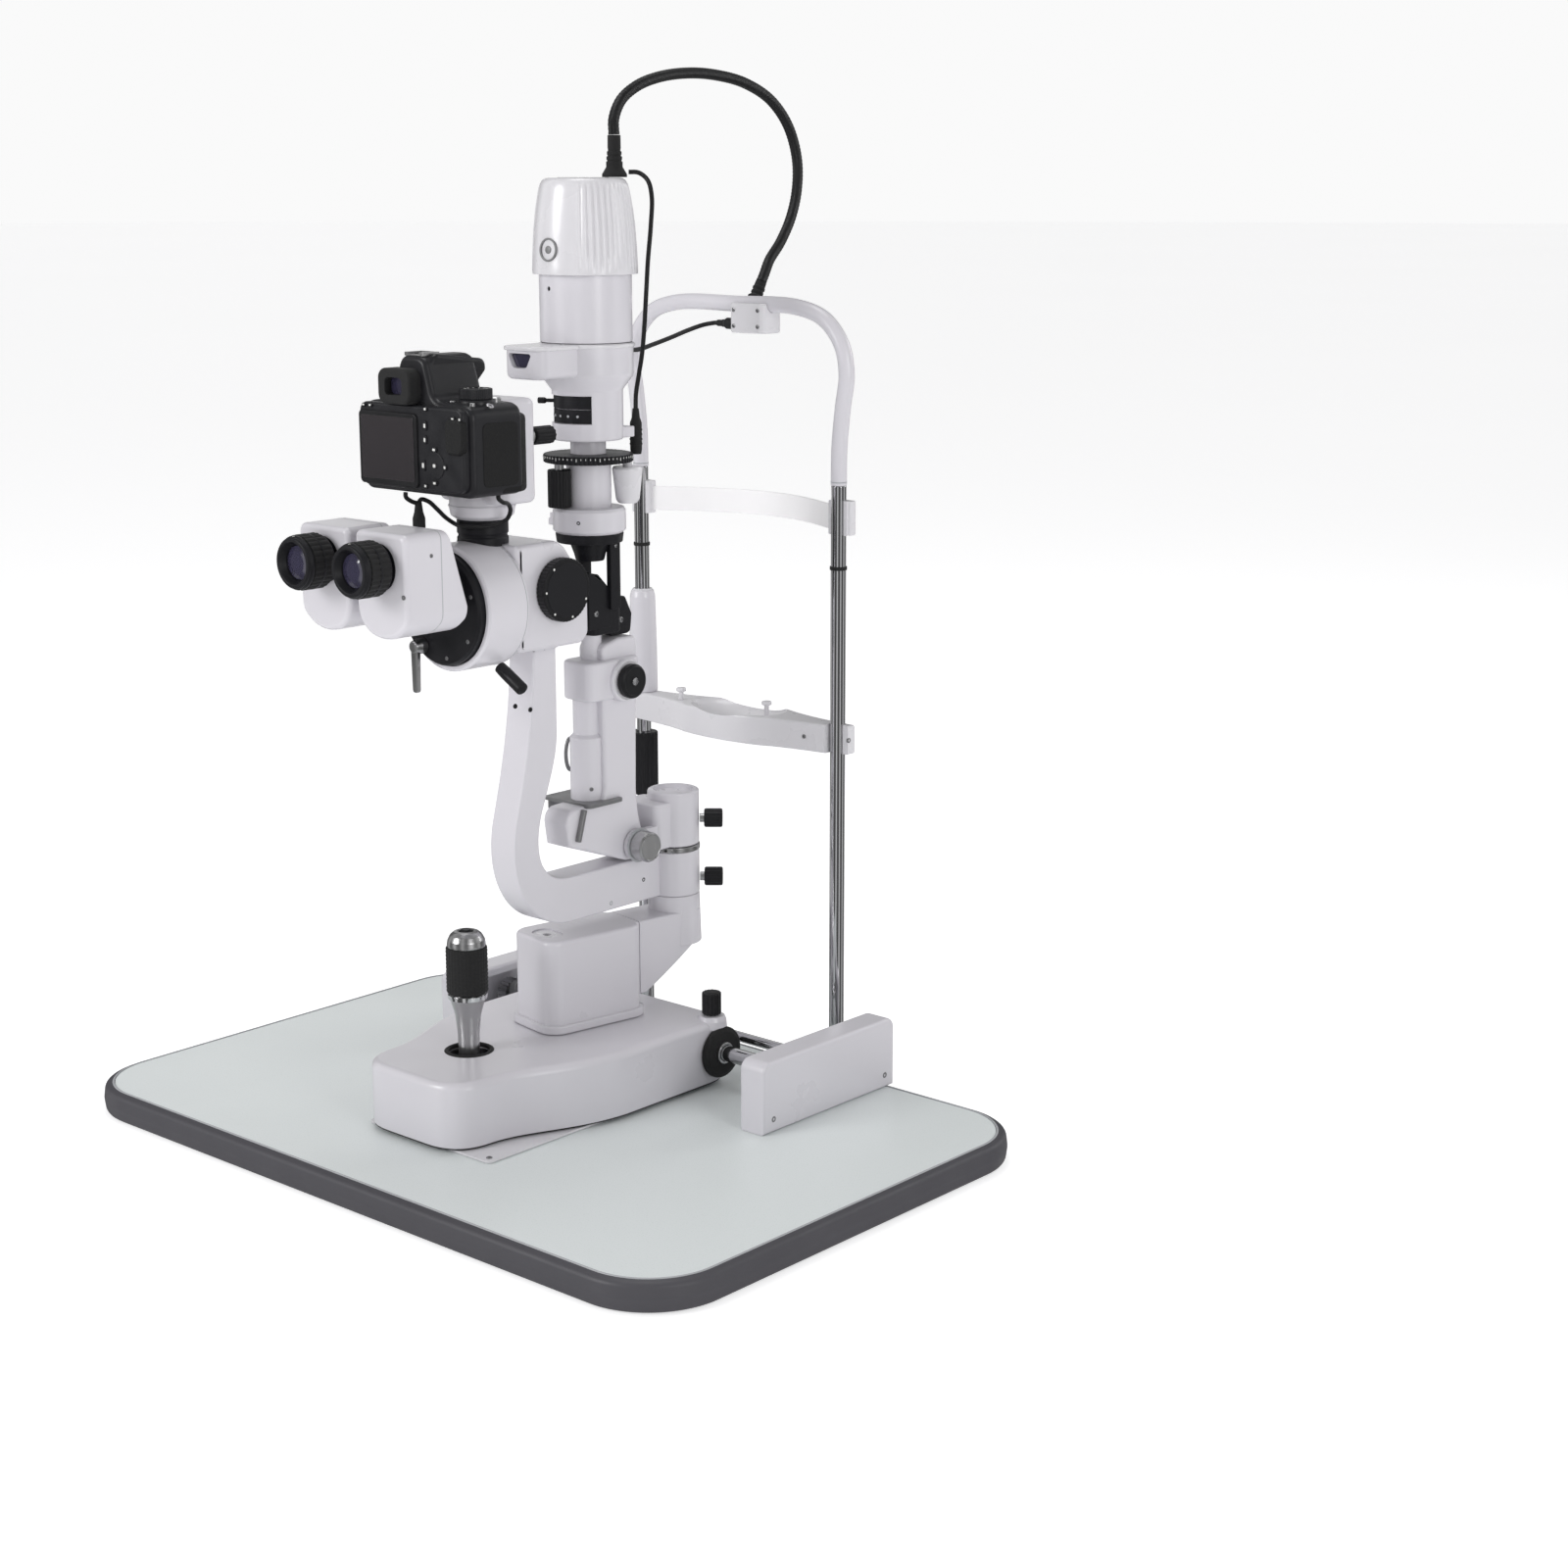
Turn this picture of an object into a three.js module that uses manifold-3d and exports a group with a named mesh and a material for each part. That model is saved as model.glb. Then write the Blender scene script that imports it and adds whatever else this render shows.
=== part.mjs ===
// Slit lamp on its table top: a biomicroscope with a camera, a lamp tower, a cross-slide base and a headrest.
// Millimetres, +Z up. The origin is the centre of the table top's underside. The examiner sits at -Y
// and the patient at +Y. Heights below are measured from the table's upper surface, which is why
// every piece hangs in the group "onTable", raised by the table's thickness.
import * as THREE from 'three';
import { mergeVertices } from 'three/addons/utils/BufferGeometryUtils.js';
import Module from 'manifold-3d';

const wasm = await Module();
wasm.setup();

// ---------------------------------------------------------------- driving dimensions
const GAP = 0.3;
const TABLE = { width: 720, depth: 472, thick: 26, corner: 70, band: 10 };
const BASE = { x: -15, front: -143, back: 148, bottom: 4, top: 60, frontHalf: 63, backHalf: 99, wall: 4 };
const COVER = { inner: 174, width: 27, y0: 61, y1: 235, height: 63, wall: 3.5 };
const AXLE = { y: 133, z: 31, r: 7, reach: 190, rearY: 161.5, rearZ: 37, rearR: 4.5 };
const WHEEL = { r: 13, width: 12, teeth: 20 };
const POST = { x: 119.3, y: 252.7, r: 6.7, top: 523, bottom: -23.5 };
const CHIN = { z0: 286, z1: 312 };
const JOY = { x: -20, y: -67, pivotZ: 22, gripZ0: 112, gripZ1: 152, top: 160 };
const CARRIER = { x: -14, y: 58, turn: -9.8, z0: 60.5, top: 143, reach: 105.5 };
const PIVOT = { x: 4, y: 162, r: 23, shaft: 12, bore: 12.3, knobTurn: 41 };
const SCOPE = { x: -7, limb: 30, hub0: 157.5, hub1: 197.5, axisZ: 444 };
const DRUM = { r: 52, y0: -90, y1: -46.3 };
const OCULAR = { right: 26.5, left: -40.5, z: 491, turnRight: 9, turnLeft: -23, turnZ: 462 };
const CAMERA = { x0: -64, x1: 65, y0: -131, y1: -69, z0: 540, z1: 612 };
const TOWER = { x: -5, y: 72, tiltY: 105, tiltZ: 213 };
const LOCK = { x: 76, y: 133 };
const PLUG = { x: -16, y: -108 };

// Share of the full number of facets that round pieces and curved outlines are given.
const FACETS = 0.4;

const V = (x, y, z) => new THREE.Vector3(x, y, z);
const facets = (sides) => Math.max(8, 2 * Math.round((sides * FACETS) / 2));
const UP = V(0, 0, 1);
const degrees = THREE.MathUtils.degToRad;

// ---------------------------------------------------------------- solids and booleans
function toSolid(geometry) {
  const bare = geometry.clone();
  bare.deleteAttribute('normal');
  bare.deleteAttribute('uv');
  const merged = mergeVertices(bare, 1e-4);
  const index = merged.index.array;
  const kept = [];
  for (let i = 0; i < index.length; i += 3) {
    const [a, b, c] = [index[i], index[i + 1], index[i + 2]];
    if (a !== b && b !== c && c !== a) kept.push(a, b, c);
  }
  const mesh = new wasm.Mesh({
    numProp: 3,
    vertProperties: new Float32Array(merged.attributes.position.array),
    triVerts: new Uint32Array(kept),
  });
  return new wasm.Manifold(mesh);
}

function toGeometry(solid) {
  const mesh = solid.getMesh();
  const geometry = new THREE.BufferGeometry();
  geometry.setAttribute('position', new THREE.BufferAttribute(new Float32Array(mesh.vertProperties), 3));
  geometry.setIndex(Array.from(mesh.triVerts));
  return geometry;
}

function join(first, ...others) {
  return toGeometry(others.reduce((sum, other) => sum.add(toSolid(other)), toSolid(first)));
}

function cut(first, ...tools) {
  return toGeometry(tools.reduce((rest, tool) => rest.subtract(toSolid(tool)), toSolid(first)));
}

function common(first, second) {
  return toGeometry(toSolid(first).intersect(toSolid(second)));
}

// ---------------------------------------------------------------- basic shapes
function along(geometry, from, direction) {
  geometry.applyQuaternion(new THREE.Quaternion().setFromUnitVectors(UP, direction.clone().normalize()));
  return geometry.translate(from.x, from.y, from.z);
}

// A round bar or cone between two points.
function rod(from, to, radius, endRadius = radius, sides = 32) {
  const length = from.distanceTo(to);
  const geometry = new THREE.CylinderGeometry(endRadius, radius, length, facets(sides));
  geometry.rotateX(Math.PI / 2).translate(0, 0, length / 2);
  return along(geometry, from, to.clone().sub(from));
}

// A drill of that radius whose facets stand outside the circle, so a round bar of it turns freely inside.
function drill(from, to, radius, sides = 32) {
  const outside = radius / Math.cos(Math.PI / facets(sides));
  return rod(from, to, outside, outside, sides);
}

// A turned piece: [radius, height] pairs from the foot to the head, about a line through `from`.
function turned(profile, from = V(0, 0, 0), direction = UP, sides = 40) {
  const geometry = new THREE.LatheGeometry(profile.map(([r, h]) => new THREE.Vector2(r, h)), facets(sides));
  return along(geometry.rotateX(Math.PI / 2), from, direction);
}

function box(x0, x1, y0, y1, z0, z1) {
  const geometry = new THREE.BoxGeometry(x1 - x0, y1 - y0, z1 - z0);
  return geometry.translate((x0 + x1) / 2, (y0 + y1) / 2, (z0 + z1) / 2);
}

function roundedRect(width, depth, radius) {
  const [w, d, r] = [width / 2, depth / 2, radius];
  const shape = new THREE.Shape();
  shape.absarc(w - r, d - r, r, 0, Math.PI / 2);
  shape.absarc(-w + r, d - r, r, Math.PI / 2, Math.PI);
  shape.absarc(-w + r, -d + r, r, Math.PI, 1.5 * Math.PI);
  shape.absarc(w - r, -d + r, r, 1.5 * Math.PI, 2 * Math.PI);
  shape.closePath();
  return shape;
}

// A shape in the XY plane raised to a slab, with its edges rounded inside its own outline.
function slab(shape, z0, z1, round = 0, steps = 2, curve = 6) {
  const geometry = new THREE.ExtrudeGeometry(shape, {
    depth: z1 - z0 - 2 * round,
    bevelEnabled: round > 0,
    bevelThickness: round,
    bevelSize: round,
    bevelOffset: -round,
    bevelSegments: Math.max(1, Math.round(steps * FACETS)),
    curveSegments: Math.max(2, Math.round(curve * FACETS)),
  });
  return geometry.translate(0, 0, z0 + round);
}

// A block with rounded upright edges and softened top and bottom rims.
function block(x0, x1, y0, y1, z0, z1, radius, round = 0, steps = 2) {
  const geometry = slab(roundedRect(x1 - x0, y1 - y0, radius), z0, z1, round, steps, 5);
  return geometry.translate((x0 + x1) / 2, (y0 + y1) / 2, 0);
}

// A side profile drawn as (y, z), given thickness along X.
function sidePlate(shape, x0, x1, round = 0, steps = 2, curve = 8) {
  const geometry = slab(shape, x0, x1, round, steps, curve);
  return geometry.applyMatrix4(new THREE.Matrix4().set(0, 0, 1, 0, 1, 0, 0, 0, 0, 1, 0, 0, 0, 0, 0, 1));
}

// A front profile drawn as (x, z), given depth along Y.
function frontPlate(shape, y0, y1, round = 0, steps = 2, curve = 6) {
  const geometry = slab(shape, -y1, -y0, round, steps, curve);
  return geometry.rotateX(Math.PI / 2);
}

function outline(points) {
  const shape = new THREE.Shape(points.map(([x, y]) => new THREE.Vector2(x, y)));
  shape.closePath();
  return shape;
}

// A round bar or cord along a smooth line through the points.
function swept(points, radius, sides, steps) {
  const ring = [];
  for (let i = 0; i < sides; i += 1) {
    const angle = (2 * Math.PI * i) / sides;
    ring.push(new THREE.Vector2(radius * Math.cos(angle), radius * Math.sin(angle)));
  }
  const path = new THREE.CatmullRomCurve3(points.map(([x, y, z]) => V(x, y, z)), false, 'centripetal');
  return new THREE.ExtrudeGeometry(new THREE.Shape(ring), { extrudePath: path, steps, bevelEnabled: false });
}

function around(x, y, angle, radius) {
  return [x + radius * Math.cos(degrees(angle)), y + radius * Math.sin(degrees(angle))];
}

// ---------------------------------------------------------------- materials and the scene graph
const finish = (color, roughness, metalness = 0) => ({ color, roughness, metalness });
const WHITE = finish(0xdcd9e0, 0.35);
const LAMINATE = finish(0xc3cdcb, 0.45);
const EDGE = finish(0x55545c, 0.5);
const BLACK = finish(0x1b1b1d, 0.45);
const RUBBER = finish(0x202022, 0.85);
const STEEL = finish(0xb5b7ba, 0.2, 1);
const SATIN = finish(0xa9aaac, 0.4, 1);
const CORD = finish(0x0d0d0e, 0.5);

const slitLamp = new THREE.Group();
const onTable = new THREE.Group();
onTable.position.z = TABLE.thick;
slitLamp.add(onTable);

function piece(name, geometry, look, parent = onTable) {
  const mesh = new THREE.Mesh(geometry, new THREE.MeshStandardMaterial({ ...look, flatShading: true }));
  mesh.name = name;
  parent.add(mesh);
  return mesh;
}

// ---------------------------------------------------------------- table
function tabletop() {
  const { width, depth, thick, corner, band } = TABLE;
  return slab(roundedRect(width - 2 * band, depth - 2 * band, corner - band), -thick, 0, 0, 1, 10);
}

function tableEdgeBand() {
  const { width, depth, thick, corner, band } = TABLE;
  const whole = slab(roundedRect(width, depth, corner), -thick, 0, band, 4, 10);
  const inner = width - 2 * band + 2 * GAP;
  const innerDepth = depth - 2 * band + 2 * GAP;
  return cut(whole, slab(roundedRect(inner, innerDepth, corner - band + GAP), -thick - 1, 1, 0, 1, 10));
}

// ---------------------------------------------------------------- rails on the table
function railCover(side) {
  const { inner, width, y0, y1, height, wall } = COVER;
  const half = width / 2;
  const top = new THREE.Shape();
  top.moveTo(-half, GAP);
  top.lineTo(half, GAP);
  top.lineTo(half - 1, height - 11);
  top.quadraticCurveTo(half - 1.5, height, half - 10, height);
  top.lineTo(-half + 8, height);
  top.quadraticCurveTo(-half, height, -half, height - 8);
  top.closePath();
  const shell = frontPlate(top, y0, y1, 2.5, 2, 4);
  const hollow = box(-half - 4, half - wall, y0 + 5, y1 - 5, -5, height - 8);
  const cover = cut(shell, hollow).translate(inner + half, 0, 0);
  return side > 0 ? cover : cover.rotateZ(Math.PI).translate(0, y0 + y1, 0);
}

// One toothed rail lies under each end of the axle.
function toothedRack(side) {
  const pitch = 4;
  const [y0, y1] = [COVER.y0 + 7, COVER.y1 - 7];
  const crest = AXLE.z - WHEEL.r - 0.2;
  const shape = new THREE.Shape();
  shape.moveTo(y0, GAP);
  shape.lineTo(y1, GAP);
  for (let y = y1; y - pitch >= y0; y -= pitch) {
    shape.lineTo(y, crest - 1.8);
    shape.lineTo(y - 0.7 * pitch, crest);
  }
  shape.lineTo(y0, crest - 1.8);
  shape.closePath();
  const x = side > 0 ? COVER.inner + 3 : -COVER.inner - 3 - WHEEL.width;
  return sidePlate(shape, x, x + WHEEL.width);
}

function railWheel(side) {
  const shape = new THREE.Shape();
  for (let i = 0; i < WHEEL.teeth; i += 1) {
    const step = (2 * Math.PI) / WHEEL.teeth;
    for (const [part, radius] of [[0, WHEEL.r], [0.5, WHEEL.r - 1.8]]) {
      const angle = (i + part) * step;
      const [y, z] = [radius * Math.cos(angle), radius * Math.sin(angle)];
      if (i === 0 && part === 0) shape.moveTo(y, z);
      else shape.lineTo(y, z);
    }
  }
  shape.closePath();
  const x = side > 0 ? COVER.inner + 3.5 : -COVER.inner - 3.5 - WHEEL.width + 1;
  const wheel = sidePlate(shape, x, x + WHEEL.width - 1);
  const bore = drill(V(x - 1, 0, 0), V(x + WHEEL.width, 0, 0), AXLE.r * 0.72 + GAP, 24);
  return cut(wheel, bore).translate(0, AXLE.y, AXLE.z);
}

// The main axle, stepped down for the wheels, and the guide bar behind it.
function carriageAxle() {
  const { y, z, r, reach, rearY, rearZ, rearR } = AXLE;
  const shoulder = COVER.inner + 2.5;
  const main = rod(V(-shoulder, y, z), V(shoulder, y, z), r, r, 28);
  const ends = rod(V(-reach, y, z), V(reach, y, z), r * 0.72, r * 0.72, 24);
  const guide = rod(V(-shoulder + 12, rearY, rearZ), V(shoulder - 12, rearY, rearZ), rearR, rearR, 20);
  const links = [-1, 1].map((side) => {
    const x = side * (shoulder - 8);
    return block(x - 4, x + 4, y - 12, rearY + 8, z - 9, rearZ + 8, 3, 1);
  });
  return join(main, ends, guide, ...links);
}

// ---------------------------------------------------------------- headrest
function archPoints() {
  const right = [[119.3, 523.3], [119.8, 555], [123.5, 590], [127.5, 618], [122, 643], [103, 664], [72, 673.5]];
  const half = right.map(([x, z]) => [x, POST.y, z]);
  const other = right.slice().reverse().map(([x, z]) => [-x, POST.y, z]);
  return [...half, [0, POST.y, 674.5], ...other];
}

// A steel post whose clamp foot grips the back edge of the table.
function headrestPost(side) {
  const x = side * POST.x;
  const foot = block(x - 15, x + 15, TABLE.depth / 2 + GAP, POST.y + 13, -22, -4, 6, 1);
  return join(rod(V(x, POST.y, POST.bottom), V(x, POST.y, POST.top), POST.r), foot);
}

// The holes that slide on the two posts.
function postBores(z0, z1) {
  return [-1, 1].map((side) => rod(V(side * POST.x, POST.y, z0), V(side * POST.x, POST.y, z1), POST.r + GAP));
}

function foreheadBand() {
  const shape = new THREE.Shape();
  const half = POST.x - 9;
  const bow = (x, out) => POST.y + 3 + 37 * Math.cos((Math.PI * x) / (2 * half)) + out;
  const count = 12;
  const across = (i) => -half + (2 * half * i) / count;
  shape.moveTo(across(0), bow(across(0), 3));
  for (let i = 1; i <= count; i += 1) shape.lineTo(across(i), bow(across(i), 3));
  for (let i = count; i >= 0; i -= 1) shape.lineTo(across(i), bow(across(i), 0));
  shape.closePath();
  const strap = slab(shape, 483, 505);
  const clips = [-1, 1].map((side) => {
    const x = side * POST.x;
    const sleeve = rod(V(x, POST.y, 480), V(x, POST.y, 510), 10.4, 10.4, 28);
    const [a, b] = side > 0 ? [x - 11, x + 12.5] : [x - 12.5, x + 11];
    return join(sleeve, block(a, b, POST.y + 1, POST.y + 9.5, 480, 510, 2.5, 1));
  });
  return cut(join(strap, ...clips), ...postBores(470, 520));
}

// The cable block hangs under the arch, with a gland on top and a socket on its left side.
function cableBlock() {
  const body = block(3, 43, POST.y - 13, POST.y + 13, 650, 676, 5, 1.5);
  const glandProfile = [[0, -6], [7, -6], [7, 4], [4.9, 5], [4.9, 18], [0, 18]];
  const gland = turned(glandProfile, V(14.5, POST.y + 8, 677), V(0, 0.5, 0.87));
  const socket = [[0, -4], [5, -4], [5, 14], [3, 16], [3, 24], [0, 24]];
  const saddle = swept(archPoints(), 7.6, 10, 26);
  return cut(join(body, gland, turned(socket, V(2.7, POST.y, 657), V(-1, 0, 0), 24)), saddle);
}

// ---------------------------------------------------------------- chinrest
function chinrest() {
  const bar = new THREE.Shape();
  bar.moveTo(-POST.x - 13, POST.y + 8);
  bar.lineTo(-POST.x - 13, POST.y - 8);
  bar.quadraticCurveTo(-70, POST.y - 14, -46, POST.y - 24);
  bar.quadraticCurveTo(0, POST.y - 34, 46, POST.y - 24);
  bar.quadraticCurveTo(70, POST.y - 14, POST.x + 13, POST.y - 8);
  bar.lineTo(POST.x + 13, POST.y + 8);
  bar.quadraticCurveTo(80, POST.y + 10, 45, POST.y + 22);
  bar.quadraticCurveTo(0, POST.y + 36, -45, POST.y + 22);
  bar.quadraticCurveTo(-80, POST.y + 10, -POST.x - 13, POST.y + 8);
  const plate = slab(bar, CHIN.z0, CHIN.z1, 2, 2, 6);
  const dish = new THREE.SphereGeometry(1, 16, 10).scale(52, 34, 15).translate(0, POST.y + 2, CHIN.z1 + 3);
  const underside = block(-98, 98, POST.y - 16, POST.y + 16, CHIN.z0 - 1, CHIN.z0 + 9, 6);
  const foot = [[0, CHIN.z0 + 8], [12.5, CHIN.z0 + 8], [13.5, CHIN.z1]];
  const sleeve = turned([...foot, [13, 350], [11.8, 402], [10.4, 408], [0, 408]], V(-POST.x, POST.y, 0), UP, 32);
  const channel = drill(V(-POST.x, POST.y, CHIN.z1), V(-POST.x, POST.y, 420), POST.r + 1.6, 32);
  return cut(join(cut(plate, dish, underside), sleeve), channel, ...postBores(250, 350));
}

function chinKnob() {
  const inner = POST.r + GAP;
  const profile = [[inner, 213], [12, 213], [13, 215], [13, 271], [12, 273], [inner, 273], [inner, 213]];
  return turned(profile, V(-POST.x, POST.y, 0), UP, 32);
}

// ---------------------------------------------------------------- base
function baseOutline(inset) {
  const f = BASE.frontHalf - inset;
  const b = BASE.backHalf - inset;
  const front = BASE.front + inset;
  const back = BASE.back - inset;
  const r = 38 - inset;
  const rear = 24 - inset / 2;
  const shape = new THREE.Shape();
  shape.moveTo(0, front);
  shape.lineTo(f - r, front);
  shape.quadraticCurveTo(f, front, f, front + r);
  shape.bezierCurveTo(f + 2, -66, b - 4, -40, b, 17);
  shape.lineTo(b, back - rear);
  shape.quadraticCurveTo(b, back, b - rear, back);
  shape.lineTo(-b + rear, back);
  shape.quadraticCurveTo(-b, back, -b, back - rear);
  shape.lineTo(-b, 17);
  shape.bezierCurveTo(-b + 4, -40, -f - 2, -66, -f, front + r);
  shape.quadraticCurveTo(-f, front, -f + r, front);
  shape.closePath();
  return shape;
}

function baseHousing() {
  const { x, bottom, top, wall } = BASE;
  const skin = slab(baseOutline(0), bottom - 12, top, 7, 3, 7).translate(x, 0, 0);
  const boss = rod(V(LOCK.x, LOCK.y, top - 8), V(LOCK.x, LOCK.y, 63), 12.5, 11.5, 28);
  const hollow = slab(baseOutline(wall), bottom - 14, top - wall, 0, 1, 5).translate(x, 0, 0);
  const axle = drill(V(-160, AXLE.y, AXLE.z), V(160, AXLE.y, AXLE.z), AXLE.r + 1, 28);
  const joystick = drill(V(JOY.x, JOY.y, 40), V(JOY.x, JOY.y, 70), 18.8, 36);
  const column = drill(V(CARRIER.x, CARRIER.y, 40), V(CARRIER.x, CARRIER.y, 70), 15, 32);
  const lock = drill(V(LOCK.x, LOCK.y, 40), V(LOCK.x, LOCK.y, 70), 4.2, 20);
  const floor = box(-200, 200, -200, 200, bottom - 20, bottom);
  return cut(join(cut(skin, hollow), boss), axle, joystick, column, lock, floor);
}

function axleLockKnob() {
  const profile = [[0, 40], [3.8, 40], [3.8, 64], [8.3, 64], [8.6, 66], [8.6, 82], [7.4, 84], [0, 84]];
  return turned(profile, V(LOCK.x, LOCK.y, 0), UP, 28);
}

// ---------------------------------------------------------------- joystick
function joystickGimbal() {
  const z = JOY.pivotZ;
  const ring = [[15, z - 3], [18, z - 3], [18, z + 3], [15, z + 3], [15, z - 3]];
  return turned(ring, V(JOY.x, JOY.y, 0), UP, 32);
}

function joystickStem() {
  const z = JOY.pivotZ;
  const ball = [[0, z - 14], [6, z - 12], [11, z - 6], [12, z], [10.5, z + 6], [8, z + 9.5]];
  const stem = [[9, 60], [9.3, 76], [11, 92], [15.5, 109], [16, 111.5], [6, 111.5], [6, 156], [0, 156]];
  return turned([...ball, ...stem], V(JOY.x, JOY.y, 0), UP, 36);
}

function joystickGrip() {
  const { gripZ0, gripZ1, top } = JOY;
  const inner = 6.3;
  const rubber = [[17, gripZ0], [17.6, gripZ0 + 2], [17.6, gripZ1 - 1], [16, gripZ1]];
  const cap = [[15.6, gripZ1 + 2], [12, gripZ1 + 7], [8.2, top], [inner, top]];
  return turned([[inner, gripZ0], ...rubber, ...cap, [inner, gripZ0]], V(JOY.x, JOY.y, 0), UP, 40);
}

function joystickButton() {
  const { x, y, top } = JOY;
  return turned([[0, top], [5.6, top], [5.6, top + 5], [4.4, top + 6.5], [0, top + 7]], V(x, y, 0), UP, 24);
}

// ---------------------------------------------------------------- elevator
// The carrier is drawn about its own lifting column and turned towards the swivel axis.
function carrier() {
  const { z0, top, reach } = CARRIER;
  const flange = block(-35, 35, -54, 54, z0, 68, 18, 1.5);
  const tower = block(-31, 31, -50, 50, 62, top, 14, 4, 3);
  const wedge = new THREE.Shape();
  wedge.moveTo(40, 76);
  wedge.lineTo(58, 76);
  wedge.quadraticCurveTo(86, 92, reach + 14, 118);
  wedge.lineTo(reach + 14, top);
  wedge.lineTo(40, top);
  wedge.closePath();
  const bracket = sidePlate(wedge, -22, 22, 2.5);
  const head = rod(V(0, reach, 112), V(0, reach, 157.2), PIVOT.r + 1.5, PIVOT.r, 40);
  const groove = cut(box(-40, 40, 50.6, 51.6, 40, 160), box(-20.5, 20.5, 50, 52, 60, top - 1.2));
  const well = block(-15, 15, -43, -21, top - 2, top + 5, 10);
  const hole = drill(V(0, -32, top - 12), V(0, -32, top + 1), 3.2, 20);
  const bore = drill(V(0, 0, 40), V(0, 0, 138), 14.3, 32);
  const socket = drill(V(0, reach, 118), V(0, reach, 170), PIVOT.bore, 32);
  return cut(join(flange, tower, bracket, head), groove, well, hole, bore, socket);
}

function swivelShaft() {
  const swivel = rod(V(0, CARRIER.reach, 118.4), V(0, CARRIER.reach, 246), PIVOT.shaft);
  return join(swivel, rod(V(0, CARRIER.reach, 197.8), V(0, CARRIER.reach, 202.2), PIVOT.r + 0.6));
}

// A thumb screw that points outwards from the swivel column.
function swivelKnob(height) {
  const out = V(Math.cos(degrees(PIVOT.knobTurn)), Math.sin(degrees(PIVOT.knobTurn)), 0);
  const from = V(PIVOT.x, PIVOT.y, height).addScaledVector(out, PIVOT.r + 0.6);
  return turned([[0, 0], [4, 0], [4, 4], [8, 4], [8.4, 6], [8.4, 18], [6.8, 20.5], [0, 20.5]], from, out, 28);
}

// ---------------------------------------------------------------- microscope
function scopeArm() {
  const shape = new THREE.Shape();
  shape.moveTo(-7, 404);
  shape.lineTo(-9, 388);
  shape.bezierCurveTo(-12, 330, -24, 285, -33, 252);
  shape.bezierCurveTo(-44, 200, -16, 157.6, 31, 157.6);
  shape.lineTo(PIVOT.y, 157.6);
  shape.lineTo(PIVOT.y, 197.4);
  shape.lineTo(26, 197.4);
  shape.bezierCurveTo(-8, 200, -12, 232, -1, 262);
  shape.bezierCurveTo(12, 295, 17.5, 310, 17.5, 330);
  shape.lineTo(17.5, 404);
  shape.closePath();
  const half = SCOPE.limb / 2;
  const limb = sidePlate(shape, SCOPE.x - half, SCOPE.x + half, 3, 2, 9);
  const hub = rod(V(PIVOT.x, PIVOT.y, SCOPE.hub0), V(PIVOT.x, PIVOT.y, SCOPE.hub1), PIVOT.r);
  const bore = drill(V(PIVOT.x, PIVOT.y, 150), V(PIVOT.x, PIVOT.y, 205), PIVOT.bore, 32);
  return cut(join(limb, hub), bore);
}

function scopeBody() {
  const under = [[-46, 405], [-40, 404.3], [28, 404.3], [35, 410]];
  const shape = outline([...under, [35, 452], [8, 488], [0, 493], [-46, 493]]);
  const body = sidePlate(shape, -45, 31, 5, 3);
  const shaft = drill(V(-60, 0, 453), V(50, 0, 453), 6.4, 24);
  return cut(body, shaft);
}

function objectiveHood() {
  const hood = rod(V(SCOPE.x, 35.3, 447), V(SCOPE.x, 50, 440), 27, 19, 36);
  const front = box(-60, 60, 35.3, 50.5, 380, 500);
  const bore = rod(V(SCOPE.x, 42, 443), V(SCOPE.x, 70, 441), 13, 13, 28);
  return cut(common(hood, front), bore);
}

function magnificationKnob() {
  const x0 = 31.4;
  const right = [[0, x0], [26.5, x0], [26.5, x0 + 8], [25, x0 + 9.5], [0, x0 + 9.5]];
  const left = [[0, 45.4], [26.5, 45.4], [26.5, 53.4], [25, 54.9], [0, 54.9]];
  const shaft = rod(V(-46, 0, 453), V(32, 0, 453), 6, 6, 24);
  const centre = V(0, 0, 453);
  return join(turned(right, centre, V(1, 0, 0), 40), turned(left, centre, V(-1, 0, 0), 40), shaft);
}

function scopeDrum() {
  const { r, y0, y1 } = DRUM;
  const profile = [[0, -y1], [r, -y1], [r, -y0 - 2], [r - 1.5, -y0], [47, -y0], [47, -y0 - 3], [0, -y0 - 3]];
  return turned(profile, V(SCOPE.x, 0, SCOPE.axisZ), V(0, -1, 0), 56);
}

// The black front plate, the two tubes that the prism boxes turn on, and the camera lead's socket.
function drumPlate() {
  const y = DRUM.y0 + 3 - GAP;
  const plate = rod(V(SCOPE.x, y, SCOPE.axisZ), V(SCOPE.x, -97, SCOPE.axisZ), 46.5, 45, 48);
  const tubes = [OCULAR.turnRight, OCULAR.turnLeft].map((x) => (
    rod(V(x, -92, OCULAR.turnZ), V(x, -121.7, OCULAR.turnZ), 15, 15, 32)
  ));
  const socket = rod(V(PLUG.x, PLUG.y, 466), V(PLUG.x, PLUG.y, 482), 6.5, 6.5, 24);
  return join(plate, ...tubes, socket);
}

function splitterLever() {
  const boss = rod(V(-28, -97.3, 412), V(-28, -103, 412), 6.5, 6, 24);
  const lever = block(-31, -25, -108, -103, 372, 416, 2.4, 1).translate(0, 0.2, 0);
  return join(boss, lever);
}

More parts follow.
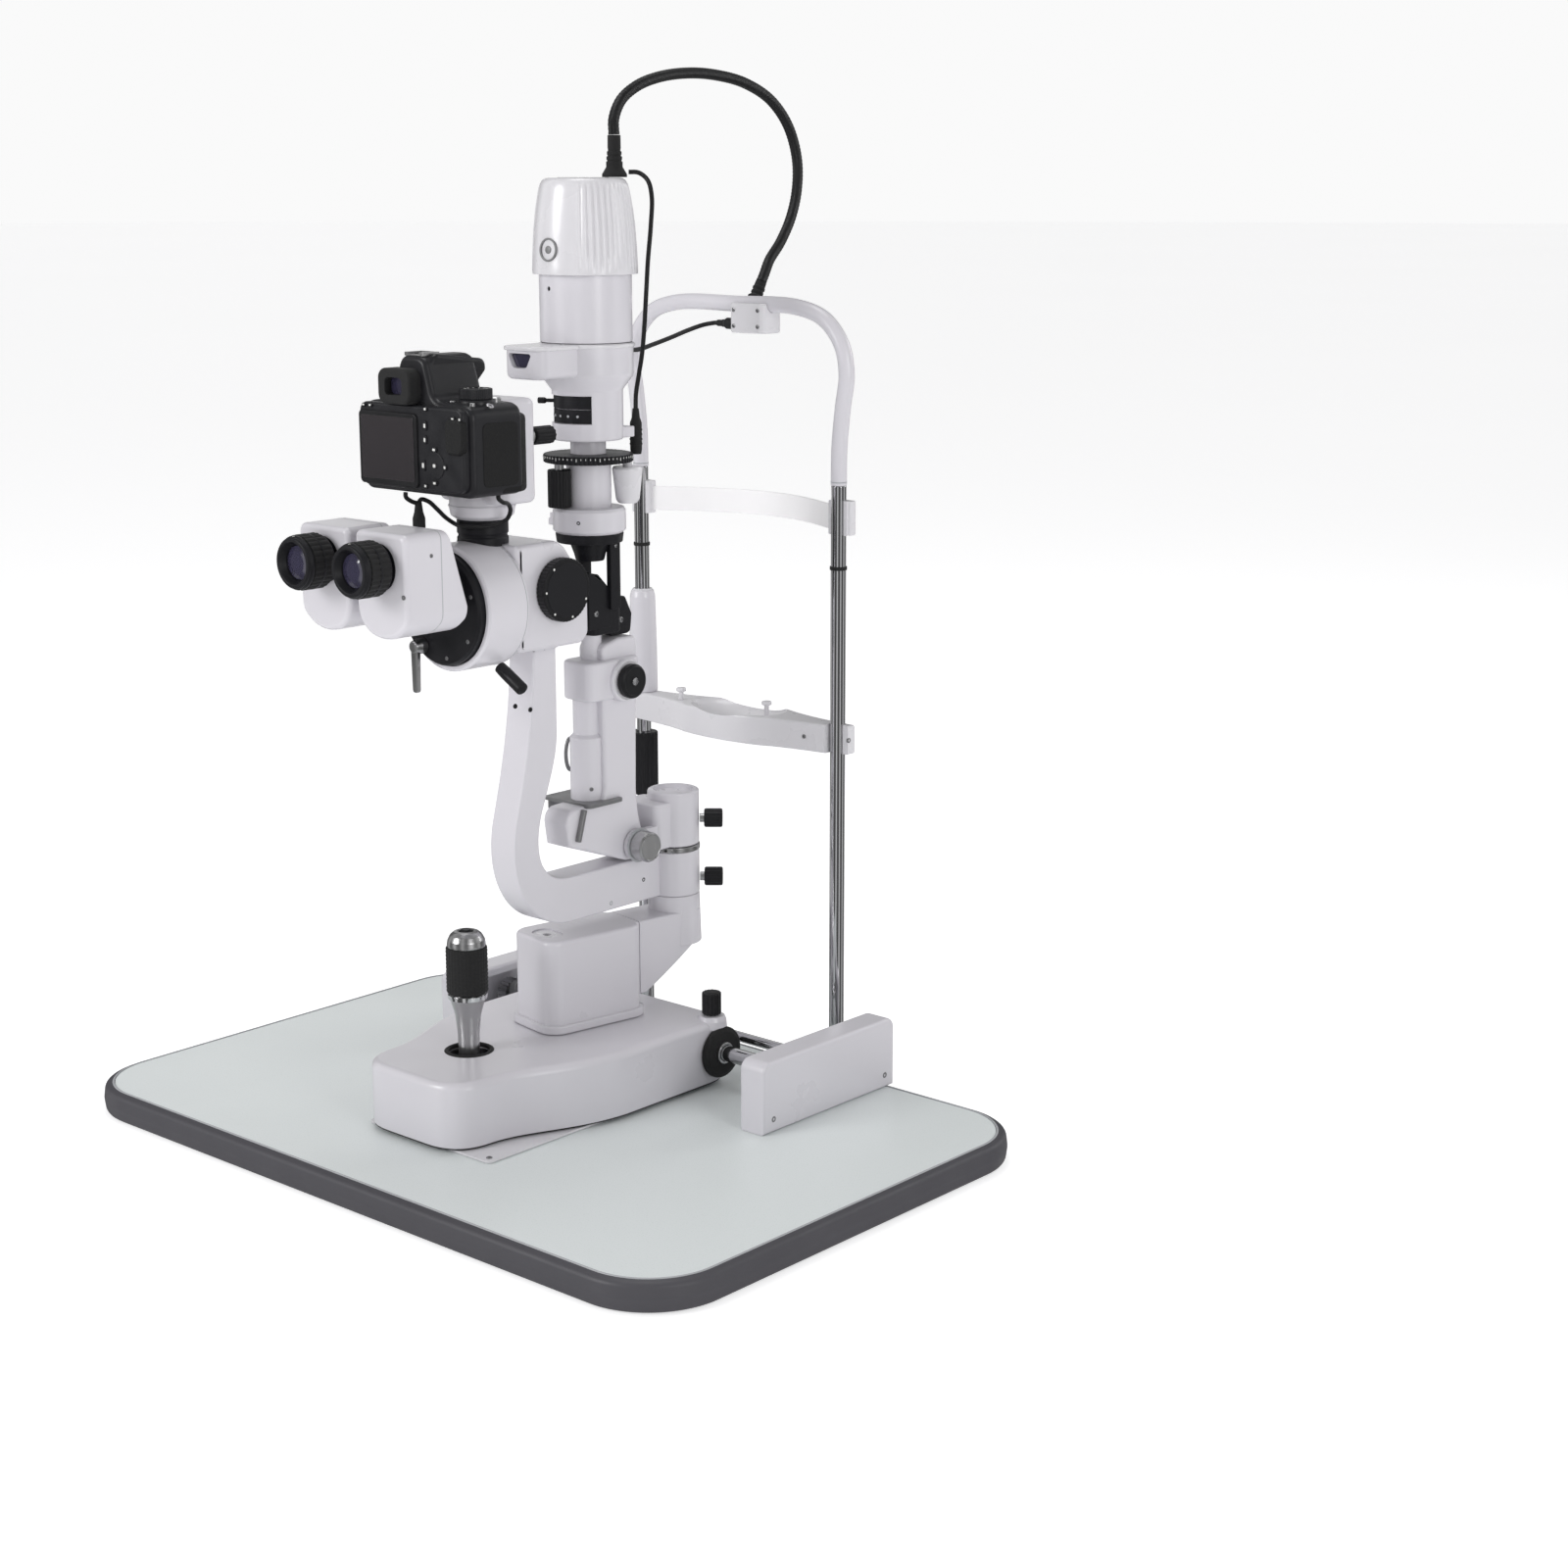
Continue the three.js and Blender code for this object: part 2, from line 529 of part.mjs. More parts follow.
// The right eye's prism box, with its lower inner corner cut back.
function prismHousing() {
  const half = 30;
  const [z0, z1] = [442, 518];
  const shape = new THREE.Shape();
  shape.moveTo(-half + 6, z1);
  shape.quadraticCurveTo(-half, z1, -half, z1 - 6);
  shape.lineTo(-half, z0 + 22);
  shape.quadraticCurveTo(-half, z0 + 14, -half + 8, z0 + 8);
  shape.quadraticCurveTo(-half + 20, z0, -half + 30, z0);
  shape.lineTo(half - 14, z0);
  shape.quadraticCurveTo(half, z0, half, z0 + 14);
  shape.lineTo(half, z1 - 8);
  shape.quadraticCurveTo(half, z1, half - 8, z1);
  shape.closePath();
  return frontPlate(shape, -186, -122, 4, 3, 6);
}

function mirrored(geometry) {
  const flipped = geometry.index ? geometry.toNonIndexed() : geometry.clone();
  flipped.scale(-1, 1, 1);
  const position = flipped.attributes.position;
  for (let i = 0; i < position.count; i += 3) {
    const [a, c] = [i, i + 2].map((k) => V(position.getX(k), position.getY(k), position.getZ(k)));
    position.setXYZ(i, c.x, c.y, c.z);
    position.setXYZ(i + 2, a.x, a.y, a.z);
  }
  flipped.deleteAttribute('normal');
  return flipped;
}

function prismBox(side) {
  const body = side > 0 ? prismHousing() : mirrored(prismHousing());
  return body.translate(side > 0 ? 27 : -41, 0, 0);
}

// An eyepiece: a waisted barrel with a deep cup in front for the eye lens.
function eyepiece(x) {
  const barrel = [[0, 0], [16, 0], [16, 3], [21, 4.5], [22, 6], [22, 17], [20.8, 19], [20.8, 21], [19.5, 22.5]];
  const cup = [[16.5, 22.5], [14, 18], [0, 16]];
  return turned([...barrel, ...cup], V(x, -186.4, OCULAR.z), V(0, -1, 0), 44);
}

// ---------------------------------------------------------------- camera
function cameraAdapter() {
  const tube = rod(V(SCOPE.x, -48, 470), V(SCOPE.x, -48, 515), 21);
  const bowl = [[0, 513], [21.5, 513], [25.5, 516], [27, 523], [26, 533], [0, 533]];
  const dome = turned(bowl, V(SCOPE.x, -48, 0), UP, 40);
  const elbow = block(-44, 34, -66, -21, 527, 611, 12, 5, 3);
  const grip = [[0, 0], [4, 0], [4, 5], [7.5, 5], [7.5, 24], [5, 27], [0, 27.5]];
  const knob = turned(grip, V(20, -28, 579), V(0, 1, 0), 24);
  const ring = rod(V(SCOPE.x, -67, 575), V(SCOPE.x, -64, 575), 27);
  const seat = DRUM.y1 + GAP / 2;
  const drum = drill(V(SCOPE.x, DRUM.y0 - 1, SCOPE.axisZ), V(SCOPE.x, seat, SCOPE.axisZ), DRUM.r + GAP, 56);
  const body = box(-60, 60, seat - GAP, 60, 400, 493.3);
  return cut(join(tube, dome, elbow, knob, ring), drum, body);
}

function cameraBody() {
  const { x0, x1, y0, y1, z0, z1 } = CAMERA;
  const shape = new THREE.Shape();
  shape.moveTo(x0 + 8, z0);
  shape.lineTo(x1 - 10, z0);
  shape.quadraticCurveTo(x1, z0, x1, z0 + 10);
  shape.lineTo(x1, z1 - 12);
  shape.quadraticCurveTo(x1, z1, x1 - 14, z1);
  shape.lineTo(28, z1 + 1);
  shape.lineTo(15, z1 + 30);
  shape.quadraticCurveTo(8, z1 + 36, -2, z1 + 36);
  shape.quadraticCurveTo(-14, z1 + 36, -20, z1 + 28);
  shape.lineTo(-34, z1 + 1);
  shape.lineTo(x0 + 12, z1 - 1);
  shape.quadraticCurveTo(x0, z1 - 2, x0, z1 - 14);
  shape.lineTo(x0, z0 + 8);
  shape.quadraticCurveTo(x0, z0, x0 + 8, z0);
  const body = frontPlate(shape, y0 + 8, y1 + 1.6, 4, 2, 5);
  const backPane = block(-52, 22, y0 + 3, y0 + 14, z0 + 8, z1 - 6, 3, 1);
  const eyecup = block(-24, 12, y0 - 3, y0 + 14, z1 + 4, z1 + 28, 6, 2);
  const dialTop = rod(V(43, y0 + 34, z1 - 4), V(43, y0 + 34, z1 + 3.2), 13, 12, 30);
  const port = block(x0 - 7, x0 + 4, y0 + 26, y0 + 40, z0 + 26, z0 + 44, 2, 1);
  const shutterWell = drill(V(46, y1 - 11, z1 - 6), V(46, y1 - 11, z1 + 5), 5.6, 24);
  const mount = drill(V(SCOPE.x, y1 - 4, 575), V(SCOPE.x, y1 + 5, 575), 28, 40);
  return cut(join(body, backPane, eyecup, dialTop, port), shutterWell, mount);
}

function modeDial() {
  const z = CAMERA.z1 + 3.5;
  return turned([[0, z], [10.5, z], [10.5, z + 7], [9.5, z + 8], [0, z + 8]], V(43, CAMERA.y0 + 34, 0), UP, 30);
}

function shutterButton() {
  const z = CAMERA.z1 - 4;
  return turned([[0, z], [5, z], [5, z + 7], [4, z + 8], [0, z + 8]], V(46, CAMERA.y1 - 11, 0), UP, 24);
}

// The camera lead leaves the camera's underside, dips to its plug, loops round the adapter and goes back up.
const CAMERA_LEAD = [
  [-19.5, -118, 539.3], [-19.5, -117.9, 535.5], [-17.5, -112, 531], [-16, -108, 530.4], [-14.5, -106.5, 533],
  [-12, -101, 531], [-12, -92, 524], [-16, -80, 516], [-17.5, -70.5, 510.5], [-6, -72.6, 509], [7, -69, 509],
  [16, -60, 510], [26, -53, 514.5], [34, -55, 523], [39, -62, 529.5], [42.5, -71, 532], [43, -75.9, 535.5],
  [43, -76, 539.3],
];

function cameraLead() {
  const pin = [[0, 482.3], [3, 482.3], [3, 485], [5.2, 488]];
  const grip = [[5.2, 519], [3.6, 523], [2.6, 531.5], [0, 531.5]];
  return join(swept(CAMERA_LEAD, 1.8, 8, 30), turned([...pin, ...grip], V(PLUG.x, PLUG.y, 0), UP, 20));
}

// ---------------------------------------------------------------- lamp tower
function lampArm() {
  const hub = rod(V(PIVOT.x, PIVOT.y, 202.6), V(PIVOT.x, PIVOT.y, 252), PIVOT.r);
  const collar = block(-26, 18, 126, 156, 203, 244, 6, 2);
  const ears = [[-26, -20.2], [11, 17]].map(([a, b]) => {
    const ear = rod(V(a, TOWER.tiltY, TOWER.tiltZ), V(b, TOWER.tiltY, TOWER.tiltZ), 13.5);
    return join(ear, box(a, b, TOWER.tiltY, 128, TOWER.tiltZ - 10, TOWER.tiltZ + 13));
  });
  const bore = drill(V(PIVOT.x, PIVOT.y, 190), V(PIVOT.x, PIVOT.y, 260), PIVOT.bore, 32);
  const axle = drill(V(-40, TOWER.tiltY, TOWER.tiltZ), V(40, TOWER.tiltY, TOWER.tiltZ), 5.3, 24);
  return cut(join(hub, collar, ...ears), bore, axle);
}

function towerCasting() {
  const shape = new THREE.Shape();
  shape.moveTo(91, 392);
  shape.quadraticCurveTo(91, 398, 97, 398);
  shape.lineTo(106, 398);
  shape.quadraticCurveTo(112, 398, 112, 388);
  shape.lineTo(110, 262);
  shape.quadraticCurveTo(111, 236, 119, 218);
  shape.lineTo(118, 206);
  shape.quadraticCurveTo(114, 199, 104, 199);
  shape.lineTo(96, 199.5);
  shape.lineTo(34, 224);
  shape.lineTo(31, 244);
  shape.quadraticCurveTo(32, 258, 40, 260);
  shape.lineTo(91, 262);
  shape.closePath();
  const limb = sidePlate(shape, -19.5, 10.3, 3, 2, 6);
  const { x, y } = TOWER;
  const cross = block(-22, 16, 50, 112, 350, 384, 9, 3);
  const boss = rod(V(8, 91, 362), V(20, 91, 362), 17, 16);
  const post = turned([
    [0, 255], [18, 255], [18, 262], [18.5, 264], [18.5, 314], [16, 317], [12, 318], [12, 355],
    [8.6, 356], [8.6, 402], [0, 402],
  ], V(x, y, 0), UP, 36);
  const tilt = drill(V(-40, TOWER.tiltY, TOWER.tiltZ), V(40, TOWER.tiltY, TOWER.tiltZ), 5.3, 24);
  const lock = drill(V(0, 91, 362), V(30, 91, 362), 4.3, 20);
  return cut(join(limb, cross, boss, post), tilt, lock);
}

function tiltKnob() {
  const shaft = [[0, -30], [7, -30], [7, -26.4], [5, -26.4], [5, 17.4]];
  const head = [[12.6, 17.4], [13.4, 19], [13.4, 30], [12, 32], [0, 32]];
  return turned([...shaft, ...head], V(0, TOWER.tiltY, TOWER.tiltZ), V(1, 0, 0), 32);
}

function towerLockKnob() {
  const profile = [[0, 12], [4, 12], [4, 20.4], [14.5, 20.4], [15, 22], [15, 27], [13.5, 28.5], [0, 28.5]];
  return turned(profile, V(0, 91, 362), V(1, 0, 0), 36);
}

// The mirror head: a clamp on the post, two side bars that leave the light path open, and a top ring.
function mirrorHead() {
  const { x, y } = TOWER;
  const seat = block(x - 13, x + 13, 62, 98, 402.3, 428, 7, 2);
  const tongue = block(x - 8, x + 8, 88, 112, 398.4, 420, 5, 2);
  const bars = [x - 15, x + 9].map((x0) => box(x0, x0 + 6, y - 3, y + 11, 420, 486));
  const ring = rod(V(x, y, 482), V(x, y, 489.7), 28, 29, 40);
  const barrel = rod(V(x, y, 466), V(x, y, 484), 12, 17, 32);
  const light = drill(V(x, y, 440), V(x, y, 500), 9, 24);
  return cut(join(seat, tongue, ...bars, ring, barrel), light);
}

function slitUnit() {
  const profile = [
    [9, 490], [28, 490], [31, 493], [31, 509], [29, 512], [19, 512], [19, 556], [15, 556], [15, 568.2],
    [9, 568.2], [9, 490],
  ];
  return turned(profile, V(TOWER.x, TOWER.y, 0), UP, 44);
}

// The slit turns with this plate: a toothed disc on the slit unit's neck.
function slitScalePlate() {
  const profile = [[15.4, 557], [36, 557], [38, 559], [38, 564], [36, 566], [15.4, 566], [15.4, 557]];
  return turned(profile, V(TOWER.x, TOWER.y, 0), UP, 48);
}

// Both slit knobs hang from the scale plate by this stub.
const KNOB_STUB = [[4, 552], [4, 556.7], [0, 556.7]];

function slitWidthKnob() {
  const [x, y] = around(TOWER.x, TOWER.y, 259, 29.5);
  const grip = [[0, 513], [9, 513], [10, 515], [10, 551], [9, 552]];
  return turned([...grip, ...KNOB_STUB], V(x, y, 0), UP, 30);
}

function slitHeightKnob() {
  const [x, y] = around(TOWER.x, TOWER.y, 52, 33);
  const grip = [[0, 517], [8, 517], [10, 520], [13, 550], [12, 552]];
  return turned([...grip, ...KNOB_STUB], V(x, y, 0), UP, 30);
}

function lampHousing() {
  const { x, y } = TOWER;
  const profile = [
    [0, 568.5], [29, 568.5], [30, 570], [30, 583], [28.6, 583.5], [28.6, 606], [30, 606.5], [30, 610],
    [39, 622], [39.5, 624], [39.5, 645], [39, 647.5], [38.6, 648], [38.6, 703], [34, 703],
    [34, 660], [0, 660],
  ];
  const lobe = block(-27, 17, -5, 60, 622, 647.5, 12, 3, 3);
  const lug = block(0, 14, 90, 110.2, 569, 578, 3, 1);
  return join(turned(profile, V(x, y, 0), UP, 52), lobe, lug);
}

function filterLever() {
  const arc = [[29.2, 596], [31.4, 596], [31.4, 601], [29.2, 601], [29.2, 596]];
  const ring = turned(arc, V(TOWER.x, TOWER.y, 0), UP, 48);
  const [ax, ay] = around(TOWER.x, TOWER.y, 215, 30.5);
  const [bx, by] = around(TOWER.x, TOWER.y, 215, 44);
  return join(ring, rod(V(ax, ay, 598.5), V(bx, by, 598.5), 2.4, 2, 14));
}

function lampCap() {
  const profile = [
    [39.2, 696], [43.7, 696], [43.9, 700], [43.4, 722], [41.8, 745], [38.6, 768], [36.5, 778], [33.5, 782.5],
    [30, 783], [0, 783], [0, 780], [29, 780], [34, 776], [38, 748], [39.6, 716], [39.2, 703.5], [39.2, 696],
  ];
  return turned(profile, V(TOWER.x, TOWER.y, 0), UP, 56);
}

function capBoot() {
  const boot = [[0, 0], [11, 0], [11, 3], [7.5, 9], [6.6, 22], [5.4, 24], [5.4, 34], [0, 34]];
  return turned(boot, V(5, 98, 783.3), UP, 28);
}

const LAMP_CABLE = [
  [5, 98, 817.6], [5, 98, 830], [5.5, 106, 845], [6.5, 124, 857], [8, 150, 865], [9, 185, 869], [10, 219, 868],
  [10.5, 255, 862], [11, 288, 848], [11.7, 310, 826], [12, 321, 798], [12.6, 320, 772], [13.4, 311, 748],
  [14.2, 296, 727], [14.5, 281, 711.7], [14.5, 274, 699.6], [14.5, 270, 693.1],
];

const BLOCK_LEAD = [
  [-21.7, 252.7, 657], [-26, 252.7, 656.8], [-34, 247, 655], [-38, 232, 651], [-37, 210, 646], [-29, 178, 641.5],
  [-16, 145, 639], [-8, 125, 640], [-5, 118, 640], [-5, 112, 640],
];

const LAMP_LEAD = [
  [13.6, 106, 787.5], [19, 112, 787], [27, 114.5, 781], [33, 113, 768], [36, 108.5, 745], [36.5, 104, 716],
  [36, 102, 690], [31, 104.5, 662], [22, 110.5, 638], [13, 115, 618], [9, 116, 604], [8.4, 116, 591],
];

// The thin lead that runs down the tower ends in a long plug above the slit unit.
function lampLead() {
  const plug = [[0, 0], [4.6, 0], [5.2, 4], [5.2, 28], [3.4, 32], [2.6, 40], [0, 40]];
  return join(swept(LAMP_LEAD, 1.9, 8, 22), turned(plug, V(8.4, 116, 553.3), UP, 20));
}

// ---------------------------------------------------------------- assembly: fixed pieces
piece('tabletop', tabletop(), LAMINATE);
piece('table_edge_band', tableEdgeBand(), EDGE);
piece('glide_plate', block(-75, 75, -134, 106, GAP, 2.3, 5), WHITE);
for (const [side, hand] of [[1, 'right'], [-1, 'left']]) {
  piece(`rail_cover_${hand}`, railCover(side), WHITE);
  piece(`toothed_rack_${hand}`, toothedRack(side), SATIN);
  piece(`headrest_post_${hand}`, headrestPost(side), STEEL);
}
piece('headrest_arch', swept(archPoints(), 7, 10, 26), WHITE);
piece('forehead_band', foreheadBand(), WHITE);
piece('cable_block', cableBlock(), WHITE);

// chinrest
piece('chinrest', chinrest(), WHITE);
piece('chin_height_knob', chinKnob(), BLACK);

// carriage and base
piece('carriage_axle', carriageAxle(), STEEL);
piece('rail_wheel_right', railWheel(1), SATIN);
piece('rail_wheel_left', railWheel(-1), SATIN);
piece('base_housing', baseHousing(), WHITE);
piece('axle_lock_knob', axleLockKnob(), BLACK);
piece('joystick_gimbal', joystickGimbal(), SATIN);
piece('joystick_stem', joystickStem(), SATIN);
piece('joystick_grip', joystickGrip(), RUBBER);
piece('joystick_button', joystickButton(), BLACK);

// elevator
const elevator = new THREE.Group();
elevator.position.set(CARRIER.x, CARRIER.y, 0);
elevator.rotation.z = degrees(CARRIER.turn);
onTable.add(elevator);
piece('elevator_carrier', carrier(), WHITE, elevator);
piece('lift_column', rod(V(0, 0, 10), V(0, 0, 137.5), 14, 14, 32), STEEL, elevator);
piece('swivel_shaft', swivelShaft(), STEEL, elevator);

// microscope
piece('scope_arm', scopeArm(), WHITE);
piece('scope_lock_knob', swivelKnob(171), BLACK);
piece('scope_body', scopeBody(), WHITE);
piece('objective_hood', objectiveHood(), BLACK);
piece('magnification_knob', magnificationKnob(), BLACK);
piece('scope_drum', scopeDrum(), WHITE);
piece('drum_plate', drumPlate(), BLACK);
piece('splitter_lever', splitterLever(), SATIN);
piece('prism_box_right', prismBox(1), WHITE);
piece('prism_box_left', prismBox(-1), WHITE);
piece('eyepiece_right', eyepiece(OCULAR.right), BLACK);
piece('eyepiece_left', eyepiece(OCULAR.left), BLACK);
piece('camera_adapter', cameraAdapter(), WHITE);
piece('camera_body', cameraBody(), BLACK);
piece('camera_mode_dial', modeDial(), BLACK);
piece('camera_shutter_button', shutterButton(), SATIN);
piece('camera_lead', cameraLead(), CORD);

// lamp tower
piece('lamp_arm', lampArm(), WHITE);
piece('lamp_lock_knob', swivelKnob(225), BLACK);
piece('tower_casting', towerCasting(), WHITE);
piece('tilt_knob', tiltKnob(), SATIN);
piece('tower_lock_knob', towerLockKnob(), BLACK);
piece('mirror_head', mirrorHead(), BLACK);
piece('slit_unit', slitUnit(), WHITE);
piece('slit_scale_plate', slitScalePlate(), BLACK);
piece('slit_width_knob', slitWidthKnob(), BLACK);
piece('slit_height_knob', slitHeightKnob(), WHITE);
piece('lamp_housing', lampHousing(), WHITE);
piece('filter_lever', filterLever(), BLACK);
piece('lamp_cap', lampCap(), WHITE);
piece('cap_boot', capBoot(), RUBBER);
piece('lamp_cable', swept(LAMP_CABLE, 4.7, 8, 22), CORD);
piece('block_lead', swept(BLOCK_LEAD, 2, 8, 18), CORD);
piece('lamp_lead', lampLead(), CORD);

export default slitLamp;
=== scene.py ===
"""A slit lamp on its table top: the fine shapes, the surfaces and the light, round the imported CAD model.

Shapes are drawn in millimetres above the table's upper surface, as the part is, and turned into the row's
metres as they become pieces. -Y faces the examiner, +Y the patient.
"""

import math

import bmesh
import bpy
from mathutils import Matrix, Vector


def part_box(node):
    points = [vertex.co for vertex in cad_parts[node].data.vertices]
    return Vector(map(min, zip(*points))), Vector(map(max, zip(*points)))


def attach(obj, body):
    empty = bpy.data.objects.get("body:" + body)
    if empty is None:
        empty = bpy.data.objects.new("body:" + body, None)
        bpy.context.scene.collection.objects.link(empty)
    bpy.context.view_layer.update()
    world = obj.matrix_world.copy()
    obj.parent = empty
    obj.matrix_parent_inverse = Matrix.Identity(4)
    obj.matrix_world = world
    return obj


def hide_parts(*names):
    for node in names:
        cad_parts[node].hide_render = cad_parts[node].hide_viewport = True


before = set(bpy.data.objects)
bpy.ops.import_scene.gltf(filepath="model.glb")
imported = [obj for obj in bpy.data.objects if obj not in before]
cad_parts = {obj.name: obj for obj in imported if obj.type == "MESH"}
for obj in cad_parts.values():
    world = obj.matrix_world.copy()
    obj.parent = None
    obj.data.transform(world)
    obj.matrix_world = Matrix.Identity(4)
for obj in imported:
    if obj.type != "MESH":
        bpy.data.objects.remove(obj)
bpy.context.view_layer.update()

MM = 0.001
TABLE_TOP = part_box("tabletop")[1].z

X = Vector((1, 0, 0))
Y = Vector((0, 1, 0))
Z = Vector((0, 0, 1))

# Axes that several pieces share, in millimetres above the table.
POST_X, POST_Y, POST_R = 119.3, 252.7, 6.7
AXLE_Y, AXLE_Z, AXLE_R = 133, 31, 7
JOY_X, JOY_Y = -20, -67
LOCK_X, LOCK_Y = 76, 133
CARRIER_X, CARRIER_Y, CARRIER_TURN = -14, 58, -9.8
PIVOT_X, PIVOT_Y, PIVOT_R = 4, 162, 23
SCOPE_X, SCOPE_Z = -7, 444
TOWER_X, TOWER_Y = -5, 72
TILT_Y, TILT_Z = 105, 213
EYE_RIGHT, EYE_LEFT, EYE_Z = 26.5, -40.5, 491
ZOOM_Z = 453
CLAMP_Y, CLAMP_Z = 91, 362
MOUNT_Z = 575


class Span:
    """A CAD node's box at rest, in millimetres above the table."""

    def __init__(self, node):
        low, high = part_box(node)
        self.x0, self.y0, self.z0 = low.x / MM, low.y / MM, (low.z - TABLE_TOP) / MM
        self.x1, self.y1, self.z1 = high.x / MM, high.y / MM, (high.z - TABLE_TOP) / MM
        self.cx, self.cy, self.cz = (self.x0 + self.x1) / 2, (self.y0 + self.y1) / 2, (self.z0 + self.z1) / 2


# ------------------------------------------------------------------ outlines
class Outline:
    """A closed line drawn with straight stretches and curves."""

    def __init__(self, x, y):
        self.points = [(x, y)]

    def line(self, *points):
        self.points += points
        return self

    def quad(self, cx, cy, x, y, steps=9):
        x0, y0 = self.points[-1]
        for i in range(1, steps + 1):
            t = i / steps
            a, b, c = (1 - t) ** 2, 2 * t * (1 - t), t * t
            self.points.append((a * x0 + b * cx + c * x, a * y0 + b * cy + c * y))
        return self

    def cubic(self, ax, ay, bx, by, x, y, steps=18):
        x0, y0 = self.points[-1]
        for i in range(1, steps + 1):
            t = i / steps
            w = ((1 - t) ** 3, 3 * t * (1 - t) ** 2, 3 * t * t * (1 - t), t ** 3)
            self.points.append((w[0] * x0 + w[1] * ax + w[2] * bx + w[3] * x,
                                w[0] * y0 + w[1] * ay + w[2] * by + w[3] * y))
        return self


def rounded(points, closed=True, steps=5):
    """Corners given as (u, v, radius) become arcs."""
    out = []
    count = len(points)
    for i, point in enumerate(points):
        here = Vector(point[:2])
        radius = point[2] if len(point) > 2 else 0
        if radius <= 0 or (not closed and i in (0, count - 1)):
            out.append(tuple(here))
            continue
        before = Vector(points[i - 1][:2]) - here
        after = Vector(points[(i + 1) % count][:2]) - here
        half = before.angle(after) / 2
        reach = min(radius / math.tan(half), 0.49 * before.length, 0.49 * after.length)
        radius = reach * math.tan(half)
        before.normalize()
        after.normalize()
        centre = here + (before + after).normalized() * (radius / math.sin(half))
        start = here + before * reach - centre
        end = here + after * reach - centre
        sweep = math.atan2(start.x * end.y - start.y * end.x, start.dot(end))
        for k in range(steps + 1):
            turn = Matrix.Rotation(sweep * k / steps, 2)
            out.append(tuple(centre + turn @ start))
    return out


def rectangle(x0, x1, y0, y1, radius, steps=7):
    return rounded([(x0, y0, radius), (x1, y0, radius), (x1, y1, radius), (x0, y1, radius)], steps=steps)


def circle(x, y, radius, sides=48):
    return [(x + radius * math.cos(math.tau * i / sides), y + radius * math.sin(math.tau * i / sides))
            for i in range(sides)]


def fluted(radius, depth, count, per=6):
    """A round outline with shallow grooves, for a knob's grip."""
    sides = count * per
    out = []
    for i in range(sides):
        angle = math.tau * i / sides
        r = radius - depth * (0.5 - 0.5 * math.cos(count * angle)) ** 2
        out.append((r * math.cos(angle), r * math.sin(angle)))
    return out


def inset(points, distance):
    """A closed outline moved inwards by that distance."""
    count = len(points)
    area = sum(points[i - 1][0] * points[i][1] - points[i][0] * points[i - 1][1] for i in range(count))
    side = 1 if area > 0 else -1
    out = []
    for i in range(count):
        here = Vector(points[i])
        a = (here - Vector(points[i - 1])).normalized()
        b = (Vector(points[(i + 1) % count]) - here).normalized()
        na, nb = Vector((-a.y, a.x)) * side, Vector((-b.y, b.x)) * side
        out.append(tuple(here + (na + nb) * (distance / max(0.35, 1 + na.dot(nb)))))
    return out


def cleaned(points):
    out = []
    for p in points:
        if not out or math.dist(out[-1], p) > 1e-3:
            out.append(p)
    if math.dist(out[0], out[-1]) <= 1e-3:
        out.pop()
    return out


# ------------------------------------------------------------------ solids
def closed(bm):
    bmesh.ops.recalc_face_normals(bm, faces=bm.faces)
    return bm


def skinned(rings, capped=True, looped=False):
    """A surface over rings of points that all have the same number of points."""
    bm = bmesh.new()
    rows = [[bm.verts.new(p) for p in ring] for ring in rings]
    count = len(rows[0])
    pairs = list(zip(rows, rows[1:]))
    if looped:
        pairs.append((rows[-1], rows[0]))
    for low, high in pairs:
        for i in range(count):
            j = (i + 1) % count
            bm.faces.new((low[i], low[j], high[j], high[i]))
    if capped and not looped:
        bm.faces.new(rows[0])
        bm.faces.new(rows[-1])
    return closed(bm)


AXES = {
    "z": lambda u, v, w: (u, v, w),
    "x": lambda u, v, w: (w, u, v),
    "y": lambda u, v, w: (u, w, v),
}


def slab(points, low, high, soft=0.0, soft_low=None, axis="z", steps=4):
    """An outline given thickness along an axis, with its two rims rounded inside its own outline."""
    if isinstance(points, Outline):
        points = points.points
    points = cleaned(points)
    soft_low = soft if soft_low is None else soft_low
    levels = []
    low_steps = steps if soft_low > 0 else 0
    for k in range(low_steps + 1):
        a = math.pi / 2 * (k / low_steps if low_steps else 1)
        levels.append((soft_low * (1 - math.sin(a)), low + soft_low * (1 - math.cos(a))))
    high_steps = steps if soft > 0 else 0
    for k in range(high_steps + 1):
        a = math.pi / 2 * (1 - k / high_steps if high_steps else 1)
        levels.append((soft * (1 - math.sin(a)), high - soft * (1 - math.cos(a))))
    to_space = AXES[axis]
    rings = [[to_space(u, v, w) for u, v in inset(points, d)] for d, w in levels]
    return skinned(rings)


def block(x0, x1, y0, y1, z0, z1, radius, soft=0.0):
    return slab(rectangle(x0, x1, y0, y1, radius), z0, z1, soft)


def aimed(bm, origin, direction):
    """Stands a shape drawn along +Z at a point, along a direction."""
    turn = Z.rotation_difference(Vector(direction).normalized()).to_matrix().to_4x4()
    bm.transform(Matrix.Translation(Vector(origin)) @ turn)
    return bm


